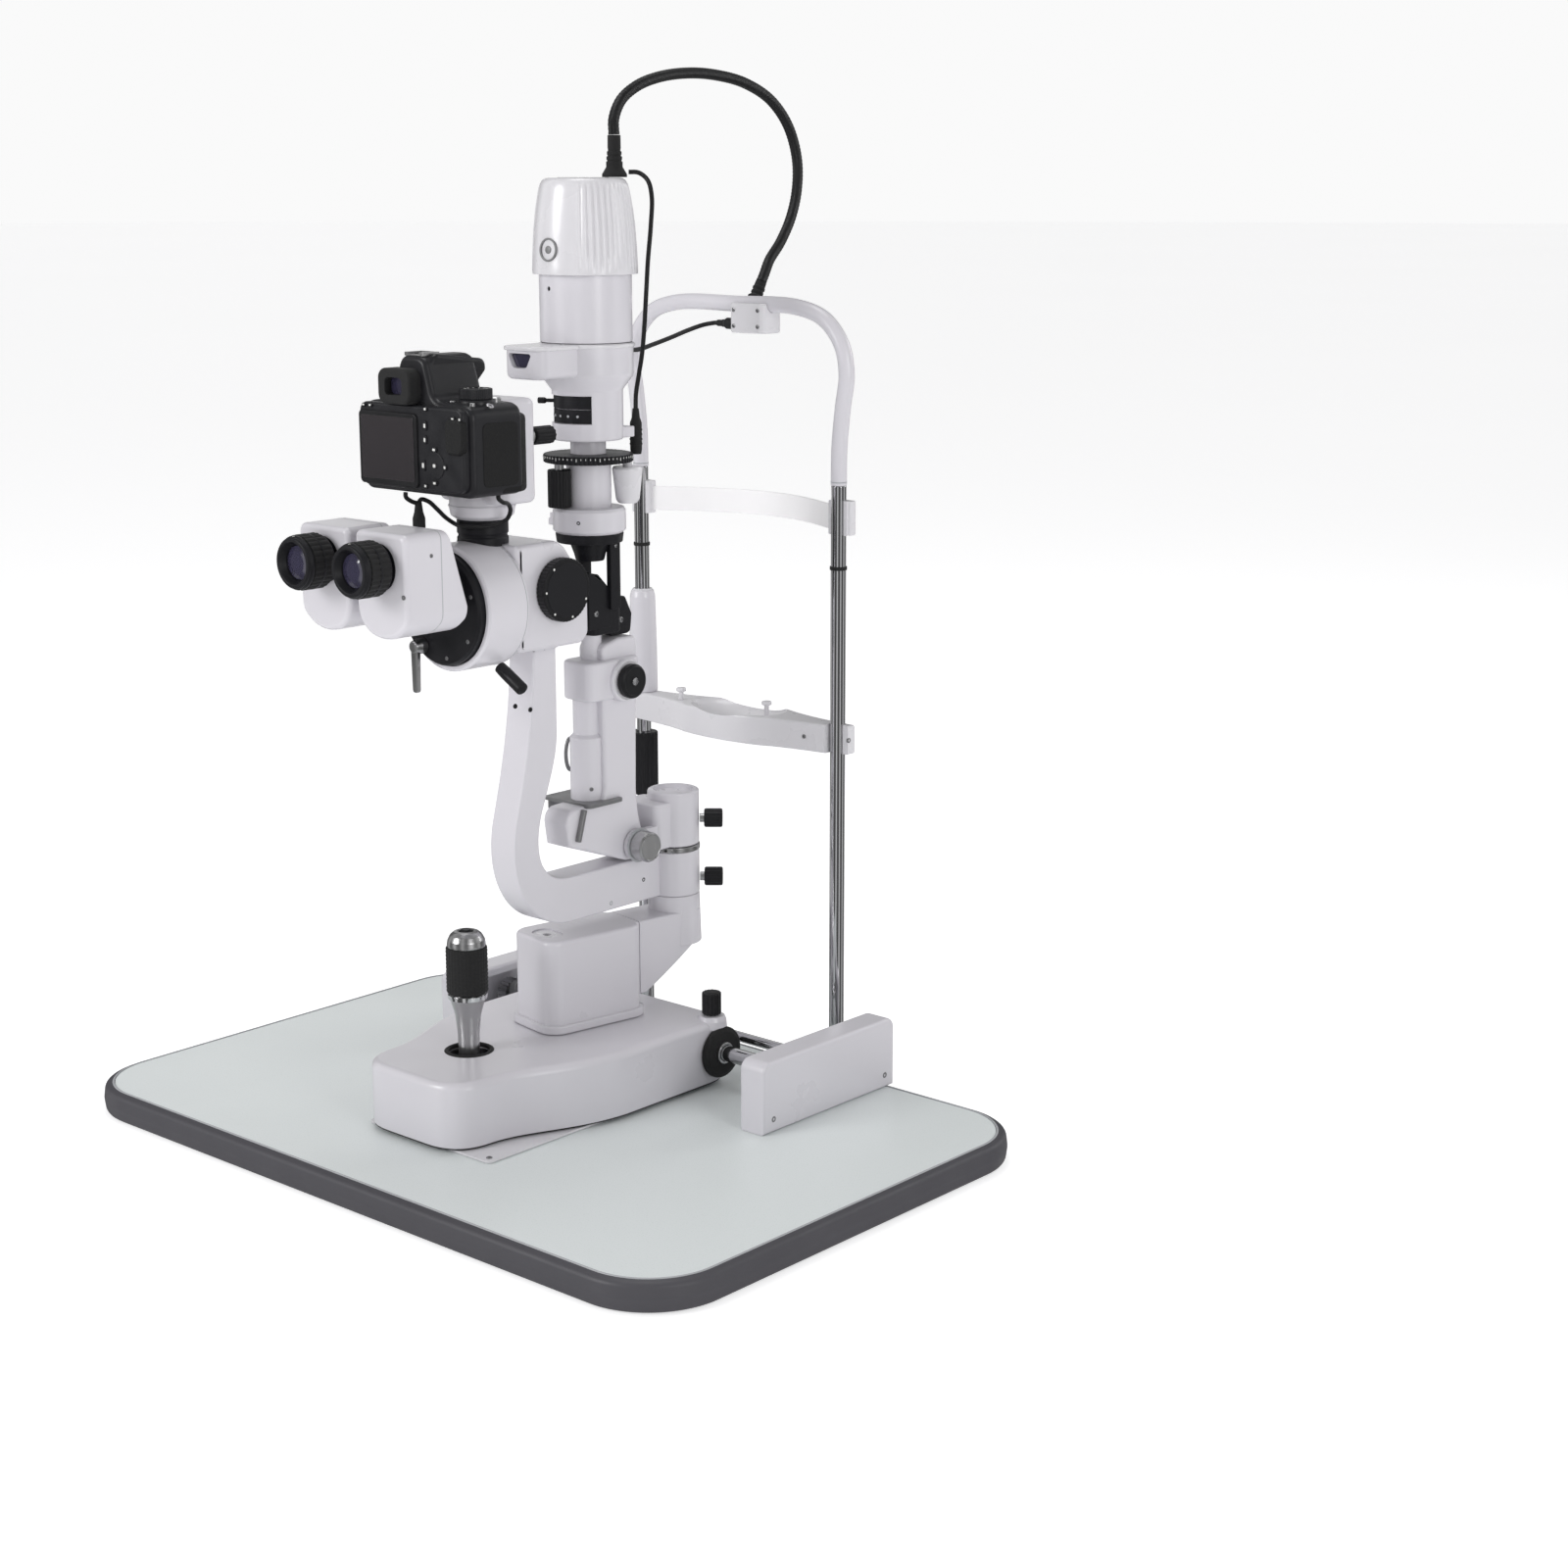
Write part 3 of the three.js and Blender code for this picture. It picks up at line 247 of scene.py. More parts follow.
def turned(profile, origin=(0, 0, 0), direction=Z, sides=72, steps=4):
    """A turned piece: (radius, height) or (radius, height, rounding) from the foot to the head."""
    profile = rounded(profile, closed=False, steps=steps)
    ring_shape = len(profile) > 2 and math.dist(profile[0], profile[-1]) < 1e-6
    if ring_shape:
        profile = profile[:-1]
    bm = bmesh.new()
    rows = []
    for r, h in profile:
        if r < 1e-6:
            rows.append([bm.verts.new((0, 0, h))])
        else:
            rows.append([bm.verts.new((x, y, h)) for x, y in circle(0, 0, r, sides)])
    pairs = list(zip(rows, rows[1:])) + ([(rows[-1], rows[0])] if ring_shape else [])
    for low, high in pairs:
        if len(low) == 1 and len(high) == 1:
            continue
        for i in range(sides):
            j = (i + 1) % sides
            corners = [low[i % len(low)], low[j % len(low)], high[j % len(high)], high[i % len(high)]]
            bm.faces.new(list(dict.fromkeys(corners)))
    return aimed(closed(bm), origin, direction)


def rod(a, b, radius, end=None, soft=0.0, sides=48):
    a, b = Vector(a), Vector(b)
    end = radius if end is None else end
    profile = [(0, 0), (radius, 0, soft), (end, (b - a).length, soft), (0, (b - a).length)]
    return turned(profile, a, b - a, sides)


def box(x0, x1, y0, y1, z0, z1):
    return slab([(x0, y0), (x1, y0), (x1, y1), (x0, y1)], z0, z1)


def centripetal(points, per):
    """The smooth line through points that the part's cords and tubes follow."""
    points = [Vector(p) for p in points]
    points = [2 * points[0] - points[1], *points, 2 * points[-1] - points[-2]]
    out = []
    for i in range(1, len(points) - 2):
        p0, p1, p2, p3 = points[i - 1:i + 3]
        d0, d1, d2 = ((b - a).length ** 0.5 for a, b in ((p0, p1), (p1, p2), (p2, p3)))
        t1 = ((p1 - p0) / d0 - (p2 - p0) / (d0 + d1) + (p2 - p1) / d1) * d1
        t2 = ((p2 - p1) / d1 - (p3 - p1) / (d1 + d2) + (p3 - p2) / d2) * d1
        for k in range(per):
            t = k / per
            out.append(p1 + t1 * t + (-3 * p1 + 3 * p2 - 2 * t1 - t2) * t * t
                       + (2 * p1 - 2 * p2 + t1 + t2) * t ** 3)
    out.append(points[-2])
    return out


def tube(line, radius, sides=20, ripple=0.0, pitch=2):
    """A round tube along a line of points. A ripple makes every so many rings a little slimmer."""
    rings = []
    normal = None
    for i, here in enumerate(line):
        ahead = line[min(i + 1, len(line) - 1)] - line[max(i - 1, 0)]
        ahead.normalize()
        if normal is None:
            normal = ahead.orthogonal().normalized()
        normal = (normal - ahead * normal.dot(ahead)).normalized()
        across = ahead.cross(normal)
        r = radius - (ripple if i % pitch == 0 and 0 < i < len(line) - 1 else 0)
        rings.append([here + normal * (r * math.cos(math.tau * k / sides)) + across
                      * (r * math.sin(math.tau * k / sides)) for k in range(sides)])
    return skinned(rings)


def evenly(line, step):
    """A line's points, taken again at even steps."""
    total = sum((b - a).length for a, b in zip(line, line[1:]))
    count = max(2, round(total / step))
    out, travelled, i = [line[0].copy()], 0.0, 0
    for k in range(1, count):
        goal = total * k / count
        while travelled + (line[i + 1] - line[i]).length < goal:
            travelled += (line[i + 1] - line[i]).length
            i += 1
        out.append(line[i].lerp(line[i + 1], (goal - travelled) / (line[i + 1] - line[i]).length))
    out.append(line[-1].copy())
    return out


def joined(*shapes):
    """Separate closed shapes in one mesh, for rows of identical small pieces."""
    whole = bmesh.new()
    for shape in shapes:
        mesh = bpy.data.meshes.new("part")
        shape.to_mesh(mesh)
        whole.from_mesh(mesh)
        shape.free()
        bpy.data.meshes.remove(mesh)
    return whole


def boolean(base, tools, operation):
    scratch = []
    for shape in [base, *tools]:
        mesh = bpy.data.meshes.new("scratch")
        shape.to_mesh(mesh)
        shape.free()
        thing = bpy.data.objects.new("scratch", mesh)
        bpy.context.scene.collection.objects.link(thing)
        scratch.append(thing)
    first = scratch[0]
    for tool in scratch[1:]:
        change = first.modifiers.new("boolean", "BOOLEAN")
        change.operation = operation
        change.solver = "EXACT"
        change.object = tool
    bpy.context.view_layer.update()
    result = bpy.data.meshes.new_from_object(first.evaluated_get(bpy.context.evaluated_depsgraph_get()))
    bm = bmesh.new()
    bm.from_mesh(result)
    bpy.data.meshes.remove(result)
    for thing in scratch:
        mesh = thing.data
        bpy.data.objects.remove(thing)
        bpy.data.meshes.remove(mesh)
    bmesh.ops.dissolve_degenerate(bm, edges=bm.edges, dist=1e-4)
    return bm


def cut(base, *tools):
    return boolean(base, tools, "DIFFERENCE")


def welded(base, *others):
    return boolean(base, others, "UNION")


def piece(name, bm, look, body, replaces=(), corner=34):
    """A finished piece: shaded smooth up to its corners, painted, and riding on its body."""
    bm.transform(Matrix.Translation((0, 0, TABLE_TOP)) @ Matrix.Scale(MM, 4))
    mesh = bpy.data.meshes.new(name)
    bm.to_mesh(mesh)
    bm.free()
    mesh.shade_smooth()
    mesh.set_sharp_from_angle(angle=math.radians(corner))
    thing = bpy.data.objects.new(name, mesh)
    bpy.context.scene.collection.objects.link(thing)
    even = thing.modifiers.new("even_normals", "WEIGHTED_NORMAL")
    even.keep_sharp = True
    mesh.materials.append(LOOKS[look])
    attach(thing, body)
    if replaces:
        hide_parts(*([replaces] if isinstance(replaces, str) else replaces))
    return thing


def dress(node, look):
    """A CAD node that stays as it is gets its finish."""
    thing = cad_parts[node]
    thing.data.materials.clear()
    thing.data.materials.append(LOOKS[look])


# ------------------------------------------------------------------ surfaces
def surface(name, colour, rough, metal=0.0, second=None, patch=40.0, rough_swing=0.06, bump=0.0, grain=600.0,
            stretch=(1, 1, 1), coat=0.0, kind="noise", sheen=0.0, coat_rough=0.1,
            specular=0.5):
    """A surface of two near colours in soft patches, with uneven gloss and a fine relief."""
    material = bpy.data.materials.new(name)
    material.use_nodes = True
    nodes, links = material.node_tree.nodes, material.node_tree.links
    shader = nodes["Principled BSDF"]
    shader.inputs["Metallic"].default_value = metal
    shader.inputs["Coat Weight"].default_value = coat
    shader.inputs["Coat Roughness"].default_value = coat_rough
    shader.inputs["Sheen Weight"].default_value = sheen
    shader.inputs["Specular IOR Level"].default_value = specular
    place = nodes.new("ShaderNodeTexCoord")
    scale = nodes.new("ShaderNodeMapping")
    scale.inputs["Scale"].default_value = stretch
    links.new(place.outputs["Object"], scale.inputs["Vector"])

    clouds = nodes.new("ShaderNodeTexNoise")
    clouds.inputs["Scale"].default_value = patch
    clouds.inputs["Detail"].default_value = 5
    links.new(scale.outputs["Vector"], clouds.inputs["Vector"])
    mix = nodes.new("ShaderNodeMix")
    mix.data_type = "RGBA"
    other = second or tuple(c * 0.93 for c in colour)
    mix.inputs["A"].default_value = (*colour, 1)
    mix.inputs["B"].default_value = (*other, 1)
    links.new(clouds.outputs["Fac"], mix.inputs["Factor"])
    links.new(mix.outputs["Result"], shader.inputs["Base Color"])

    gloss = nodes.new("ShaderNodeMapRange")
    gloss.inputs["From Min"].default_value = 0.3
    gloss.inputs["From Max"].default_value = 0.7
    gloss.inputs["To Min"].default_value = max(0.02, rough - rough_swing)
    gloss.inputs["To Max"].default_value = rough + rough_swing
    links.new(clouds.outputs["Fac"], gloss.inputs["Value"])
    links.new(gloss.outputs["Result"], shader.inputs["Roughness"])

    if bump:
        if kind == "cells":
            relief = nodes.new("ShaderNodeTexVoronoi")
            relief.inputs["Scale"].default_value = grain
            height = relief.outputs["Distance"]
        elif kind == "weave":
            relief = nodes.new("ShaderNodeTexWave")
            relief.wave_type = "BANDS"
            relief.bands_direction = "DIAGONAL"
            relief.inputs["Scale"].default_value = grain
            relief.inputs["Distortion"].default_value = 1.2
            height = relief.outputs["Fac"]
        else:
            relief = nodes.new("ShaderNodeTexNoise")
            relief.inputs["Scale"].default_value = grain
            relief.inputs["Detail"].default_value = 3
            height = relief.outputs["Fac"]
        links.new(scale.outputs["Vector"], relief.inputs["Vector"])
        raised = nodes.new("ShaderNodeBump")
        raised.inputs["Strength"].default_value = bump
        raised.inputs["Distance"].default_value = 0.0004
        links.new(height, raised.inputs["Height"])
        links.new(raised.outputs["Normal"], shader.inputs["Normal"])
    return material


def speckled(name, colour, fleck):
    """Laminate: a plain ground with fine darker and lighter flecks."""
    material = surface(name, colour, 0.38, bump=0.08, grain=900.0, patch=9.0,
                       second=tuple(c * 0.97 for c in colour))
    nodes, links = material.node_tree.nodes, material.node_tree.links
    shader = nodes["Principled BSDF"]
    ground = shader.inputs["Base Color"].links[0].from_socket
    flecks = nodes.new("ShaderNodeTexNoise")
    flecks.inputs["Scale"].default_value = 850.0
    flecks.inputs["Detail"].default_value = 2
    place = nodes["Texture Coordinate"]
    links.new(place.outputs["Object"], flecks.inputs["Vector"])
    sharp = nodes.new("ShaderNodeMapRange")
    sharp.inputs["From Min"].default_value = 0.58
    sharp.inputs["From Max"].default_value = 0.68
    sharp.inputs["To Max"].default_value = 0.35
    links.new(flecks.outputs["Fac"], sharp.inputs["Value"])
    mix = nodes.new("ShaderNodeMix")
    mix.data_type = "RGBA"
    mix.inputs["B"].default_value = (*fleck, 1)
    links.new(sharp.outputs["Result"], mix.inputs["Factor"])
    links.new(ground, mix.inputs["A"])
    links.new(mix.outputs["Result"], shader.inputs["Base Color"])
    return material


def coated_glass(name, tint):
    material = surface(name, tint, 0.06, rough_swing=0.02, coat=1.0, coat_rough=0.02, patch=60.0)
    shader = material.node_tree.nodes["Principled BSDF"]
    shader.inputs["Transmission Weight"].default_value = 0.35
    shader.inputs["IOR"].default_value = 1.6
    return material


LOOKS = {
    "enamel": surface("white_enamel", (0.66, 0.645, 0.685), 0.33, second=(0.63, 0.615, 0.655), patch=14.0,
                      bump=0.07, grain=420.0, coat=0.35, coat_rough=0.18),
    "moulded": surface("white_moulding", (0.70, 0.69, 0.715), 0.28, second=(0.67, 0.66, 0.69), patch=18.0,
                       bump=0.04, grain=700.0, coat=0.4, coat_rough=0.12),
    "strap": surface("milky_strap", (0.93, 0.92, 0.93), 0.42, second=(0.88, 0.87, 0.88), patch=30.0, bump=0.1,
                     grain=500.0),
    "laminate": speckled("table_laminate", (0.77, 0.81, 0.81), (0.56, 0.62, 0.61)),
    "edge": surface("grey_edge_band", (0.075, 0.073, 0.083), 0.5, second=(0.060, 0.058, 0.068), patch=22.0,
                    bump=0.16, grain=1100.0),
    "bead": surface("pale_bead", (0.42, 0.43, 0.45), 0.4, patch=50.0, bump=0.05),
    "anodised": surface("black_anodised", (0.009, 0.009, 0.011), 0.4, second=(0.013, 0.013, 0.016),
                        patch=60.0, specular=0.3, bump=0.12, grain=1800.0, rough_swing=0.08),
    "black": surface("black_moulding", (0.008, 0.008, 0.0095), 0.42, second=(0.012, 0.012, 0.0135),
                     patch=45.0, specular=0.3, bump=0.12, grain=1300.0, rough_swing=0.08),
    "camera": surface("camera_shell", (0.013, 0.013, 0.0155), 0.36, second=(0.018, 0.018, 0.021),
                      patch=70.0, bump=0.2, specular=0.35, grain=1600.0, rough_swing=0.07),
    "leatherette": surface("camera_grip_skin", (0.008, 0.008, 0.009), 0.6, second=(0.013, 0.013, 0.013),
                           patch=300.0, specular=0.3, bump=0.5, grain=900.0, kind="cells"),
    "screen": surface("dark_screen", (0.03, 0.027, 0.03), 0.12, second=(0.036, 0.031, 0.034), patch=12.0,
                      coat=1.0, coat_rough=0.03, rough_swing=0.03),
    "rubber": surface("black_rubber", (0.012, 0.012, 0.013), 0.72, second=(0.018, 0.018, 0.018),
                      patch=120.0, bump=0.3, grain=1500.0, specular=0.3, sheen=0.05),
    "chrome": surface("polished_steel", (0.62, 0.62, 0.635), 0.09, metal=1.0, second=(0.57, 0.57, 0.585),
                      patch=90.0, bump=0.02, grain=900.0, rough_swing=0.03, stretch=(1, 1, 0.05)),
    "satin": surface("satin_aluminium", (0.52, 0.52, 0.525), 0.32, metal=1.0, second=(0.46, 0.46, 0.465),
                     patch=160.0, bump=0.08, grain=1400.0, stretch=(1, 1, 0.08)),
    "steel": surface("screw_steel", (0.50, 0.50, 0.51), 0.25, metal=1.0, second=(0.40, 0.40, 0.41),
                     patch=400.0, bump=0.05, grain=1500.0),
    "grey": surface("grey_casting", (0.27, 0.27, 0.275), 0.42, metal=0.6, second=(0.22, 0.22, 0.225),
                    patch=80.0, bump=0.12, grain=900.0),
    "sheath": surface("cord_sheath", (0.007, 0.007, 0.008), 0.38, second=(0.012, 0.012, 0.013), patch=200.0,
                      bump=0.35, specular=0.35, grain=900.0, kind="weave"),
    "ink": surface("white_marks", (0.74, 0.74, 0.72), 0.5, second=(0.64, 0.64, 0.62), patch=200.0, bump=0.03),
    "glass": coated_glass("coated_glass", (0.05, 0.045, 0.09)),
    "clear": coated_glass("clear_glass", (0.30, 0.33, 0.36)),
}


# ------------------------------------------------------------------ camera and cords come first
def make_camera():
    """The examiner's left rear quarter is hidden; the view looks from the examiner's right."""
    data = bpy.data.cameras.new("camera")
    data.sensor_width = 36
    data.lens = 60.43
    camera = bpy.data.objects.new("camera", data)
    bpy.context.scene.collection.objects.link(camera)
    azimuth, elevation = math.radians(41.127), math.radians(13.044)
    back = Vector((math.sin(azimuth) * math.cos(elevation), -math.cos(azimuth) * math.cos(elevation),
                   math.sin(elevation)))
    camera.location = (1.5829, -1.4956, 0.8117)
    camera.rotation_mode = "QUATERNION"
    camera.rotation_quaternion = (-back).to_track_quat("-Z", "Y")
    bpy.context.scene.camera = camera


# Each cord's route, in metres in the row's frame.
LAMP_CABLE = [
    (0.005, 0.098, 0.8436), (0.005, 0.098, 0.856), (0.0055, 0.106, 0.871), (0.0065, 0.124, 0.883),
    (0.008, 0.150, 0.891), (0.009, 0.185, 0.895), (0.010, 0.219, 0.894), (0.0105, 0.255, 0.888),
    (0.011, 0.288, 0.874), (0.0117, 0.310, 0.852), (0.012, 0.321, 0.824), (0.0126, 0.320, 0.798),
    (0.0134, 0.311, 0.774), (0.0142, 0.296, 0.753), (0.0145, 0.281, 0.7377), (0.0145, 0.274, 0.7256),
    (0.0145, 0.270, 0.7191),
]
BLOCK_LEAD = [
    (-0.0217, 0.2527, 0.683), (-0.026, 0.2527, 0.6828), (-0.034, 0.247, 0.681), (-0.038, 0.232, 0.677),
    (-0.037, 0.210, 0.672), (-0.029, 0.178, 0.6675), (-0.016, 0.145, 0.665), (-0.008, 0.125, 0.666),
    (-0.005, 0.118, 0.666), (-0.005, 0.112, 0.666),
]
LAMP_LEAD = [
    (0.0136, 0.106, 0.8135), (0.019, 0.112, 0.813), (0.027, 0.1145, 0.807), (0.033, 0.113, 0.794),
    (0.036, 0.1085, 0.771), (0.0365, 0.104, 0.742), (0.036, 0.102, 0.716), (0.031, 0.1045, 0.688),
    (0.022, 0.1105, 0.664), (0.013, 0.115, 0.644), (0.009, 0.116, 0.630), (0.0084, 0.116, 0.617),
]
CAMERA_LEAD = [
    (-0.0195, -0.118, 0.5653), (-0.0195, -0.1179, 0.5615), (-0.0175, -0.112, 0.557), (-0.016, -0.108, 0.5564),
    (-0.0145, -0.1065, 0.559), (-0.012, -0.101, 0.557), (-0.012, -0.092, 0.550), (-0.016, -0.080, 0.542),
    (-0.0175, -0.0705, 0.5365), (-0.006, -0.0726, 0.535), (0.007, -0.069, 0.535), (0.016, -0.060, 0.536),
    (0.026, -0.053, 0.5405), (0.034, -0.055, 0.549), (0.039, -0.062, 0.5555), (0.0425, -0.071, 0.558),
    (0.043, -0.0759, 0.5615), (0.043, -0.076, 0.5653),
]


def cord(name, route, radius, body, node, step, ripple=0.0):
    above = [Vector(p) / MM - Vector((0, 0, TABLE_TOP / MM)) for p in route]
    line = evenly(centripetal(above, 24), step)
    thing = piece(name, tube(line, radius, 20, ripple), "sheath", body, node, corner=60)
    return thing


def make_cords():
    plug = [(0, 553.4), (4.4, 553.4, 0.6), (5.1, 557.5, 2), (5.1, 580, 2), (3.5, 584.5, 1), (2.7, 592, 0.5),
            (0, 592.5)]
    lamp_plug = piece("lamp_lead_plug", turned(plug, (8.4, 116, 0), sides=36), "rubber", "lamp_tower")
    grips = [turned([(5.0, z), (5.5, z + 0.6, 0.3), (5.5, z + 1.6, 0.3), (5.0, z + 2.2)], (8.4, 116, 0),
                    sides=36) for z in (561, 565, 569, 573)]
    lamp_grips = piece("lamp_lead_plug_rings", joined(*grips), "rubber", "lamp_tower")
    stem = [(0, 482.4), (2.9, 482.4), (2.9, 485), (5.1, 488, 1.5), (5.1, 518, 2), (3.6, 523, 1),
            (2.6, 531, 0.5), (0, 531.4)]
    camera_plug = piece("camera_lead_plug", turned(stem, (-16, -108, 0), sides=36), "rubber", "microscope")
    cord("lamp_cable_run", LAMP_CABLE, 4.7, "lamp_tower", "lamp_cable", 1.6, 0.22)
    cord("block_lead_run", BLOCK_LEAD, 2.0, "lamp_tower", "block_lead", 1.6, 0.0)
    cord("lamp_lead_run", LAMP_LEAD, 1.9, "lamp_tower", "lamp_lead", 1.6, 0.0)
    cord("camera_lead_run", CAMERA_LEAD, 1.8, "microscope", "camera_lead", 1.4, 0.0)


# ------------------------------------------------------------------ fasteners
def screw(at, direction, radius, height=None):
    """A raised screw head with a hexagon socket."""
    height = radius * 0.55 if height is None else height
    head = turned([(0, -0.6), (radius, -0.6), (radius, height, radius * 0.3), (0, height)], sides=28, steps=3)
    socket = slab(circle(0, 0, radius * 0.52, 6), height * 0.25, height + 2)
    return aimed(cut(head, socket), at, direction)


def screws(name, body, places, look="steel"):
    """Screws on one body, as (point, direction, radius)."""
    piece(name, joined(*[screw(*place) for place in places]), look, body)


# ------------------------------------------------------------------ table
def ring_sweep(section, outline):
    """A closed section of (outward, height) points carried round an outline."""
    outline = cleaned(outline)
    rings = [[(x, y, z) for x, y in inset(outline, -out)] for out, z in section]
    return skinned(rings, looped=True)


def table():
    board = Span("tabletop")
    outline = rectangle(board.x0, board.x1, board.y0, board.y1, 60, 24)
    piece("table_board", slab(outline, board.z0, 0, 0.3, 0.6), "laminate", "table", "tabletop")
    thick = board.z0
    edge = rounded([(0.4, 0), (2.4, 0, 0.3), (8.6, -2.2, 5), (10, thick / 2, 9), (8.6, thick + 2.2, 5),
                    (2.4, thick, 0.3), (0.4, thick)], steps=5)
    piece("table_bullnose", ring_sweep(edge, outline), "edge", "table", "table_edge_band", corner=50)
    bead = rounded([(0.35, -0.4), (0.35, 0.45), (1.0, 0.75, 0.4), (1.9, 0.5, 0.4), (2.3, -0.1)], steps=3)
    piece("table_bead", ring_sweep(bead, outline), "bead", "table")
    plate = Span("glide_plate")
    sheet = slab(rectangle(plate.x0, plate.x1, plate.y0, plate.y1, 5), plate.z0, plate.z1, 0.5)
    piece("glide_sheet", sheet, "moulded", "table", "glide_plate")
    corners = [((x, y, plate.z1), Z, 2.6, 0.8) for x in (plate.x0 + 7, plate.x1 - 7)
               for y in (plate.y0 + 7, plate.y1 - 7)]
    screws("glide_screws", "table", corners, "grey")
    seals = [turned([(0, 0.25), (6, 0.25), (6, 0.9, 0.4), (0, 0.9)], (x, y, 0), sides=32)
             for x, y in ((-150, 170), (150, 170), (-120, 205), (120, 205))]
    piece("table_screw_caps", joined(*seals), "bead", "table")


def rail(side, hand):
    cover = Span(f"rail_cover_{hand}")
    inner = cover.x0 if side > 0 else cover.x1
    outer = cover.x1 if side > 0 else cover.x0
    top = cover.z1
    outline = rounded([(cover.y0, cover.z0), (cover.y1, cover.z0), (cover.y1, top, 9.5),
                       (cover.y0, top, 9.5)], steps=8)
    shell = slab(outline, cover.x0, cover.x1, 3, axis="x")
    span = sorted((inner - side * 4, outer - side * 3.5))
    hollow = box(*span, cover.y0 + 5, cover.y1 - 5, -5, top - 8)
    piece(f"rail_cover_shell_{hand}", cut(shell, hollow), "enamel", "table", f"rail_cover_{hand}")
    low = [((outer - side * 0.25, y, 12), (side, 0, 0), 2.7, 0.6) for y in (cover.y0 + 13, cover.y1 - 13)]
    screws(f"rail_cover_screws_{hand}", "table", low, "grey")
    # A thin black sheet inside the cover's hollow, against its outer wall: painted shade that darkens the
    # open recess where the axle and wheel run.
    shade_sheet = box(*sorted((outer - side * 3.3, outer - side * 2.9)), cover.y0 + 5.2, cover.y1 - 5.2, 0.5,
                 top - 8.2)
    piece(f"rail_shade_sheet_{hand}", shade_sheet, "black", "table")
    dress(f"toothed_rack_{hand}", "satin")
    dress(f"rail_wheel_{hand}", "satin")
    x = Span(f"rail_wheel_{hand}").cx + side * 7
    hub = rod((x - 1.2, AXLE_Y, AXLE_Z), (x + 1.2, AXLE_Y, AXLE_Z), 7.5, soft=0.6)
    piece(f"rail_wheel_cap_{hand}", hub, "black", "rail_wheels")


# ------------------------------------------------------------------ headrest
def arch_line():
    right = [(119.3, 523.3), (119.8, 555), (123.5, 590), (127.5, 618), (122, 643), (103, 664), (72, 673.5)]
    left = [(-x, z) for x, z in reversed(right)]
    return centripetal([(x, POST_Y, z) for x, z in [*right, (0, 674.5), *left]], 14)


def post(side, hand):
    span = Span(f"headrest_post_{hand}")
    x = side * POST_X
    steel = [(0, span.z0), (POST_R, span.z0, 0.8), (POST_R, span.z1, 0.8), (0, span.z1)]
    piece(f"post_tube_{hand}", turned(steel, (x, POST_Y, 0), sides=56), "chrome", "table",
          f"headrest_post_{hand}")
    foot = block(x - 15, x + 15, span.y0, span.y1, -22, -4, 6, 1.2)
    bore = rod((x, POST_Y, -30), (x, POST_Y, 10), POST_R + 0.1)
    piece(f"post_clamp_{hand}", cut(foot, bore), "grey", "table")
    bolts = [((x + d, span.y1, -13), Y, 2.8, 1.6) for d in (-10, 10)]
    screws(f"post_clamp_screws_{hand}", "table", bolts)
    ring = [(POST_R + 0.1, -1.6), (POST_R + 0.9, -1.6, 0.5), (POST_R + 0.9, 1.6, 0.5), (POST_R + 0.1, 1.6),
            (POST_R + 0.1, -1.6)]
    piece(f"eye_level_ring_{hand}", turned(ring, (x, POST_Y, 451), sides=56), "rubber", "table")
    collar = [(POST_R + 0.1, 0.4), (POST_R + 3.4, 0.4, 0.8), (POST_R + 2.4, 4.4, 0.8), (POST_R + 0.1, 4.4),
              (POST_R + 0.1, 0.4)]
    piece(f"post_collar_{hand}", turned(collar, (x, POST_Y, 0), sides=56), "grey", "table")


def headrest():
    for side, hand in ((1, "right"), (-1, "left")):
        post(side, hand)
    piece("arch_tube", tube(arch_line(), 7, 36), "enamel", "table", "headrest_arch", corner=60)
    seams = [turned([(7.0, -0.6), (7.25, -0.3), (7.25, 0.3), (7.0, 0.6), (7.0, -0.6)],
                    (s * POST_X, POST_Y, 526), sides=48) for s in (-1, 1)]
    piece("arch_joint_rings", joined(*seams), "bead", "table")

    half, depth, thick = POST_X - 9, 37, 2.6
    across = [-half + 2 * half * i / 64 for i in range(65)]
    outer = [(x, POST_Y + 6 + depth * math.cos(math.pi * x / (2 * half))) for x in across]
    strap = slab(outer + [(x, y - thick) for x, y in reversed(outer)], 483, 505, 0.8, steps=3)
    piece("brow_strap", strap, "strap", "table", "forehead_band", corner=50)
    for side, hand in ((1, "right"), (-1, "left")):
        x = side * POST_X
        sleeve = rod((x, POST_Y, 480), (x, POST_Y, 510), 10.4, soft=1.2)
        a, b = sorted((x - side * 11, x + side * 12.5))
        clamp = block(a, b, POST_Y + 1, POST_Y + 9.5, 480, 510, 2.4, 1.2)
        bore = rod((x, POST_Y, 470), (x, POST_Y, 520), POST_R + 0.3)
        front = box(x - 20, x + 20, POST_Y - 20, POST_Y - 1.5, 470, 520)
        piece(f"brow_clip_{hand}", cut(welded(sleeve, clamp), bore, front), "moulded", "table")
        screws(f"brow_clip_screw_{hand}", "table", [((x + side * 8, POST_Y + 9.4, z), Y, 2.0, 0.8)
                                                    for z in (487, 503)])


